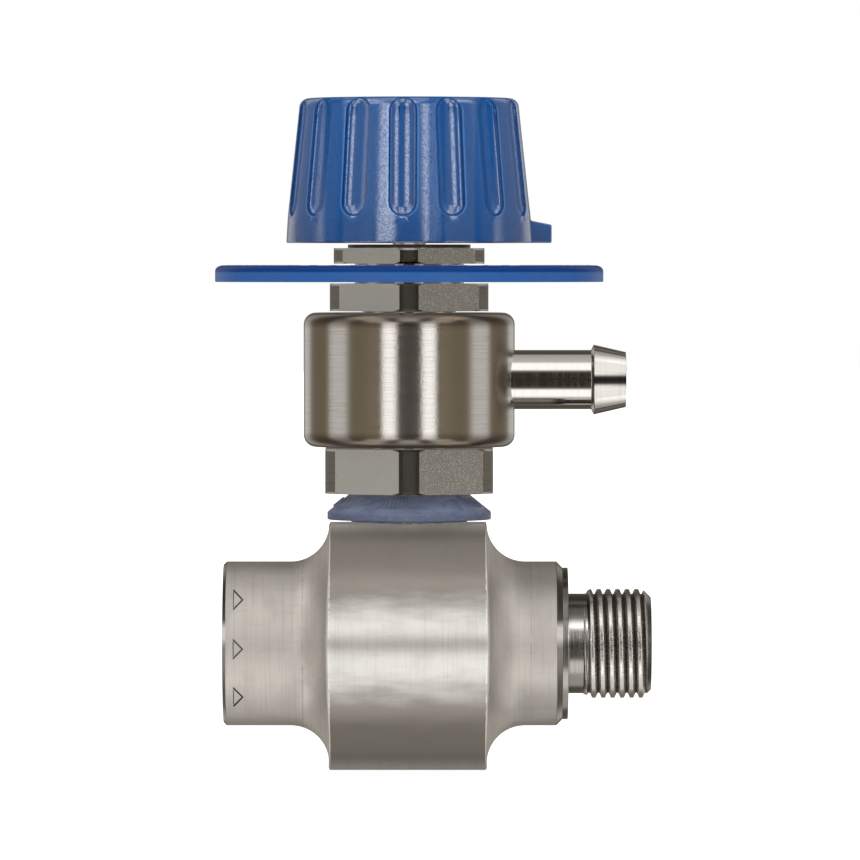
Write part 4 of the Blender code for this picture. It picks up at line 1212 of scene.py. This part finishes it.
def dial_nut():
    top_z = NUT_LOW.z + NUT_HEX_H
    bore_r = BOSS_R + PIECE_GAP
    collar_r = BOSS_R + 1.3
    above = [(top_z, collar_r), (NUT_HIGH.z, collar_r), (NUT_HIGH.z, bore_r)]
    below = [(NUT_LOW.z, bore_r)]
    piece = hexagon_piece("dial_nut_hexagon", NUT_HEX_AF, NUT_LOW.z, top_z, above, below)
    return place(piece, "body", "blasted_stainless", "dial_nut")


# The swivel ring and its hose tail.


def swivel_ring():
    bore_r = STEM_R + PIECE_GAP
    ring_r = RING_HIGH.y
    low = (RING_LOW.z + RING_EDGE_R, ring_r - RING_EDGE_R)
    high = (RING_HIGH.z - RING_EDGE_R, ring_r - RING_EDGE_R)
    outline = [
        (RING_LOW.z, bore_r),
        *arc(low, RING_EDGE_R, radians(180), radians(90), 14),
        (low[0] + 0.3, ring_r),
        (high[0] - 0.3, ring_r),
        *arc(high, RING_EDGE_R, radians(90), 0, 14),
        (RING_HIGH.z, bore_r),
    ]
    piece = turned("swivel_ring", outline, RING_STEEL)
    return matt(place(piece, "hose_swivel", "turned_stainless", "banjo_ring"))


def hose_tail():
    tube_r = 5.7
    shoulder_x = RING_HIGH.y - 2.2
    outline = [
        (TAIL_LOW.x, 3.5),
        (TAIL_LOW.x, 4.6),
        (shoulder_x, 4.6),
        (shoulder_x, tube_r),
        (BARB_X - 0.5, tube_r),
        (BARB_X, TAIL_HIGH.y),
        (TAIL_HIGH.x, tube_r - 0.4),
        (TAIL_HIGH.x, 4.0),
        (TAIL_HIGH.x - 0.5, 3.5),
    ]
    piece = turned("hose_tail", outline, TAIL_STEEL, X_AXIS, (0, 0, HOSE_Z), FINE, soft=0.12)
    return place(piece, "hose_swivel", "polished_stainless", "hose_barb")


# The dial.


def scale_dial():
    """The disc, with a quarter of an ellipse as its upper edge."""
    bore_r = BOSS_R + PIECE_GAP
    high, wide = DIAL_BEVEL
    edge_z, edge_r = DIAL_HIGH.z - high, DIAL_HIGH.x - wide
    edge = [(edge_z + high * u, edge_r + wide * v) for v, u in arc((0, 0), 1, 0, radians(90), 8)]
    outline = [(DIAL_LOW.z, bore_r), (DIAL_LOW.z, DIAL_HIGH.x), *edge, (DIAL_HIGH.z, bore_r)]
    piece = turned("dial_disc", outline, DIAL_BLUE, columns=192, soft=0.2)
    return matt(place(piece, "body", "blue_plastic", "scale_dial"))


def box_piece(name, low, high, material):
    bm = bmesh.new()
    bmesh.ops.create_cube(bm, size=1)
    size = Vector(high) - Vector(low)
    bmesh.ops.scale(bm, vec=size, verts=bm.verts)
    bmesh.ops.translate(bm, vec=Vector(low) + size / 2, verts=bm.verts)
    return as_piece(name, bm, [material])


def dial_scale():
    """Printed ticks and figures round the dial's top."""
    top_z = DIAL_HIGH.z
    raised = 0.06
    edge_r = DIAL_HIGH.x - 2.2
    for name, count, length, half in (("long_ticks", 10, 2.4, 0.2), ("short_ticks", 50, 1.3, 0.12)):
        low, high = (edge_r - length, -half, top_z - 0.1), (edge_r, half, top_z + raised)
        ticks = around(box_piece(name, low, high, PRINT), count)
        matt(place(ticks, "body", "blue_plastic"))
    bm = bmesh.new()
    for number in range(10):
        curve = bpy.data.curves.new(f"figure_{number}", "FONT")
        curve.body = str(number)
        curve.size = 4.4
        curve.align_x = "CENTER"
        curve.align_y = "CENTER"
        curve.extrude = 0.08
        text = bpy.data.objects.new(curve.name, curve)
        bpy.context.scene.collection.objects.link(text)
        graph = bpy.context.evaluated_depsgraph_get()
        mesh = bpy.data.meshes.new_from_object(text.evaluated_get(graph), depsgraph=graph)
        turn = Matrix.Rotation(-2 * pi * number / 10, 4, "Z")
        move = Matrix.Translation((0, edge_r - 5.4, top_z + raised - 0.08))
        mesh.transform(Matrix.Rotation(-pi / 2, 4, "Z") @ turn @ move)
        bm.from_mesh(mesh)
        bpy.data.objects.remove(text)
        bpy.data.meshes.remove(mesh)
    figures = as_piece("dial_figures", bm, [PRINT])
    return matt(place(figures, "body", "blue_plastic"))


# The knob.


def knob_wall():
    """Rows of the knob's outside, from the lower rim up, as (z, radius, half width of the flute as a
    share, size of the flute's section as a share, how far the wall has fallen back)."""
    skirt_z = KNOB_LOW.z + SKIRT_H
    taper = (KNOB_R[2] - KNOB_R[1]) / (KNOB_SHOULDER_Z - skirt_z)
    rows = []
    rim = bend((KNOB_LOW.z, KNOB_R[0] - 3), (KNOB_LOW.z, KNOB_R[0]), (skirt_z, KNOB_R[1]), 0.35)
    for z, radius in rim:
        rows.append((z, radius, 1.0, 0, 0))
    for share in (0.4, 0.7, 0.9):
        radius = KNOB_R[0] + (KNOB_R[1] - KNOB_R[0]) * share
        rows.append((KNOB_LOW.z + SKIRT_H * share, radius, 1.0 - 0.7 * share, 0, 0))
    heights = [FLUTE_LOW_Z - FLUTE_W * sin(radians(77 * (1 - k / 13))) for k in range(14)]
    heights += [FLUTE_LOW_Z + (KNOB_SHOULDER_Z - FLUTE_LOW_Z) * k / 8 for k in range(1, 8)]
    heights += [KNOB_SHOULDER_Z + KNOB_EDGE_R * sin(radians(5 * k)) for k in range(19)]
    for z in heights:
        wall_r = KNOB_R[1] + taper * (z - skirt_z)
        radius = wall_r
        if z > KNOB_SHOULDER_Z:
            lift = z - KNOB_SHOULDER_Z
            radius = KNOB_R[2] - KNOB_EDGE_R + sqrt(max(0, KNOB_EDGE_R**2 - lift**2))
        beyond = max(FLUTE_LOW_Z - z, z - FLUTE_HIGH_Z, 0) / FLUTE_W
        size = sqrt(max(0.0001, 1 - beyond**2))
        back = wall_r - radius
        width = size * sqrt(max(0, 1 - (back / FLUTE_D / size) ** 2))
        rows.append((z, radius, max(0.2, width), size if width > 0.02 else 0, back))
    return rows


def knob_sector():
    """One flute with its two half lands, from the lower rim to the edge of the top."""
    half_sector = pi / FLUTES
    rings = []
    for z, radius, width, size, back in knob_wall():
        half = FLUTE_W * width
        reach = half_sector * radius
        land = [reach + (half - reach) * share for share in (0, 0.3, 0.6, 0.86, 0.94)]
        land.append(half + 0.04)
        inside = [half * cos(pi * k / 20) for k in range(1, 20)]
        inside = [half - 0.02, *inside, 0.02 - half]
        row = []
        for u in land + inside + [-value for value in reversed(land)]:
            depth = 0.0
            share = abs(u) / FLUTE_W / size if size > 0 else 1
            if share < 1:
                rise = sqrt(1 - min(share, 0.93) ** 2) * min(1, (1 - share) / 0.07)
                depth = FLUTE_D * size * rise - back
            r = radius - max(0, depth)
            row.append(Vector((-r * sin(u / radius), -r * cos(u / radius), z)))
        rings.append(row)
    return rings


def control_knob():
    bm = bmesh.new()
    rings = knob_sector()
    top_z, low_z = KNOB_HIGH.z, KNOB_LOW.z
    roof_z = top_z - 4.7
    recess_z = top_z - 3.2
    bush_r, hub_r, wall = 4.9, 8.8, 3.2
    inner = softened(
        [
            (top_z, rings[-1][0].length),
            (top_z, CAP_RECESS_R),
            (recess_z, CAP_RECESS_R),
            (recess_z, bush_r),
            (low_z + 1.0, bush_r),
            (low_z + 1.0, hub_r),
            (roof_z, hub_r),
            (roof_z, KNOB_R[2] - wall),
            (low_z, KNOB_R[0] - wall),
            (low_z, KNOB_R[0] - 0.6),
        ],
        0.2,
        closed=False,
    )[1:]
    half_sector = pi / FLUTES
    count = len(rings[0])
    for z, radius in inner:
        turns = [half_sector * (1 - 2 * k / (count - 1)) for k in range(count)]
        rings.append([Vector((-radius * sin(a), -radius * cos(a), z)) for a in turns])
    loops = [[bm.verts.new(point) for point in ring] for ring in rings]
    for lower, upper in zip(loops, loops[1:] + loops[:1]):
        for index in range(count - 1):
            bm.faces.new((lower[index], lower[index + 1], upper[index + 1], upper[index]))
    bmesh.ops.rotate(bm, verts=bm.verts, matrix=Matrix.Rotation(FLUTE_PHASE, 3, "Z"))
    knob = around(as_piece("fluted_knob", bm, [KNOB_BLUE], sharp=40), FLUTES, sharp=40)
    return matt(place(knob, "knob", "blue_plastic", "control_knob"))


def pointer():
    """The lug on the knob's rim, which tapers outwards. Each station is its place along X, the
    lug's height there and half its width."""
    low_z = KNOB_LOW.z
    bm = bmesh.new()
    rings = []
    stations = [(22.0, 5.0, 3.3), (22.9, 4.75, 3.1), (23.6, 4.25, 2.8), (24.4, 4.1, 2.4)]
    for x, height, half in [*stations, (KNOB_HIGH.x, 3.5, 1.3)]:
        corners = [(-half, low_z), (half, low_z), (half, low_z + height), (-half, low_z + height)]
        rings.append([Vector((x, y, z)) for y, z in corners])
    loft(bm, rings)
    piece = as_piece("pointer_lug", bm, [KNOB_BLUE])
    edge = piece.modifiers.new("edge", "BEVEL")
    edge.width = 0.3 * MM
    edge.segments = 3
    edge.limit_method = "ANGLE"
    edge.angle_limit = radians(40)
    return matt(place(evaluated(piece, 35), "knob", "blue_plastic"))


def knob_cap():
    outline = [(CAP_LOW.z, 0), (CAP_LOW.z, CAP_HIGH.x), (CAP_HIGH.z, CAP_HIGH.x), (CAP_HIGH.z, 0)]
    piece = turned_plug("knob_cap_disc", outline, KNOB_BLUE, soft=0.4)
    return matt(place(piece, "knob", "blue_plastic", "knob_cap"))


# Finishes on the pieces that stay as the frame has them.

KEPT = {
    "nozzle_oring": RUBBER,
    "diffuser_oring": RUBBER,
    "spindle_oring": RUBBER,
    "swivel_oring_lower": RUBBER,
    "swivel_oring_upper": RUBBER,
    "check_ball": INNER_STEEL,
    "check_spring": SPRING_STEEL,
    "spring_retainer": INNER_STEEL,
    "metering_spindle": INNER_STEEL,
    "knob_bush": BUSH_BRASS,
    "knob_washer": INNER_STEEL,
    "knob_screw": INNER_STEEL,
}


def finish_kept_nodes():
    for name, material in KEPT.items():
        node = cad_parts[name]
        if not node.material_slots:
            node.data.materials.append(material)
        for slot in node.material_slots:
            slot.material = material


# The studio.


# Each panel: from and to in degrees to the side of the front, then from the horizon, the soft edge of
# each, and its brightness, which may take light away. Panels repeat on both sides, above and below.
ROOM = (0.205, 0.177, 0.138)
PANELS = (
    (13.5, 30.0, -10, 30, 2.5, 8.0, 2.9),
    (10.0, 33.0, -10, 5, 3.0, 4.0, -1.5),
    (72, 98, -10, 60, 5.0, 7.0, 0.85),
    (33, 72, -10, 60, 5.0, 7.0, 0.10),
    (98, 138, -10, 60, 5.0, 7.0, 0.10),
    (138, 162, -10, 50, 5.0, 5.0, 0.6),
)
# Each strip: the same, but to the side of the plane through the valve along the line of sight, then
# round the flow axis from the front.
STRIPS = (
    (-10, 9.0, 37, 70, 3.0, 6.0, 2.3),
    (-10, 26, 70, 115, 3.0, 6.0, 0.9),
    (20, 42, 32, 100, 4.0, 6.0, 1.8),
)
# A dim patch straight ahead: the same as a panel, with the share of the room's light that it takes.
DARK = (-10, 9.0, -10, 27, 3.0, 3.0, 0.7)


def patch(side, rise, limits):
    """How much of a panel lies in a direction, times its brightness."""
    from_side, to_side, from_rise, to_rise, side_blur, rise_blur, level = limits
    part = side.ramp(from_side - side_blur, from_side + side_blur)
    part = part * side.ramp(to_side - side_blur, to_side + side_blur, 1.0, 0.0)
    part = part * rise.ramp(from_rise - rise_blur, from_rise + rise_blur)
    return part * rise.ramp(to_rise - rise_blur, to_rise + rise_blur, 1.0, 0.0) * level


def studio_world():
    """A dim warm room with soft white panels round the object."""
    world = bpy.data.worlds.new("studio")
    bpy.context.scene.world = world
    world.use_nodes = True
    tree = world.node_tree
    nodes, links = tree.nodes, tree.links
    background = nodes["Background"]
    coordinates = nodes.new("ShaderNodeTexCoord")
    split = nodes.new("ShaderNodeSeparateXYZ")
    links.new(coordinates.outputs["Generated"], split.inputs[0])
    x, y, z = (Field(tree, output) for output in split.outputs)
    to_degrees = 180 / pi
    side = x.node("ARCTAN2", y * -1.0).magnitude() * to_degrees
    rise = z.node("ARCSINE").magnitude() * to_degrees
    lateral = x.node("ARCSINE").magnitude() * to_degrees
    round_x = z.node("ARCTAN2", y * -1.0).magnitude() * to_degrees
    total = patch(side, rise, PANELS[0])
    for limits in PANELS[1:]:
        total = total + patch(side, rise, limits)
    for limits in STRIPS:
        total = total + patch(lateral, round_x, limits)
    lit = patch(side, rise, DARK) * -1.0 + 1.0
    channels = [lit * value + total for value in ROOM]
    colour = vector_of(tree, channels)
    sight = nodes.new("ShaderNodeLightPath")
    seen = nodes.new("ShaderNodeMix")
    seen.data_type = "RGBA"
    seen.inputs[7].default_value = (1, 1, 1, 1)
    links.new(sight.outputs["Is Camera Ray"], seen.inputs[0])
    links.new(colour, seen.inputs[6])
    links.new(seen.outputs[2], background.inputs["Color"])


def pale_floor():
    bm = bmesh.new()
    bmesh.ops.create_grid(bm, x_segments=1, y_segments=1, size=6000)
    bmesh.ops.translate(bm, verts=bm.verts, vec=(0, 0, -0.2))
    finish = Finish("pale_floor", (0.5, 0.5, 0.5), 0.9)
    finish.shader.inputs["Specular IOR Level"].default_value = 0.0
    finish.shader.inputs["Emission Color"].default_value = (1, 1, 1, 1)
    finish.shader.inputs["Emission Strength"].default_value = 0.86
    floor = as_piece("floor", bm, [finish.material])
    floor.visible_glossy = False
    floor.visible_diffuse = False
    floor.visible_shadow = False


def front_camera():
    """A long lens, a little above the object and level with its front."""
    eye = Vector((4.0, -1600, 97)) * MM
    target = Vector((4.0, 0, 65.3)) * MM
    camera = bpy.data.cameras.new("camera")
    camera.lens = 348
    camera.sensor_width = 36
    camera.clip_start = 0.1
    camera.clip_end = 40
    view = bpy.data.objects.new("camera", camera)
    bpy.context.scene.collection.objects.link(view)
    view.location = eye
    view.rotation_euler = (target - eye).to_track_quat("-Z", "Y").to_euler()
    bpy.context.scene.camera = view
    bpy.context.scene.view_settings.view_transform = "Standard"


injector_block()
outlet_thread()
inlet_thread()
jet_nozzle()
diffuser_tube()
profile_seal()
seal_ribs()
hollow_screw()
valve_bonnet()
dial_nut()
swivel_ring()
hose_tail()
scale_dial()
dial_scale()
control_knob()
pointer()
knob_cap()
finish_kept_nodes()
studio_world()
pale_floor()
front_camera()
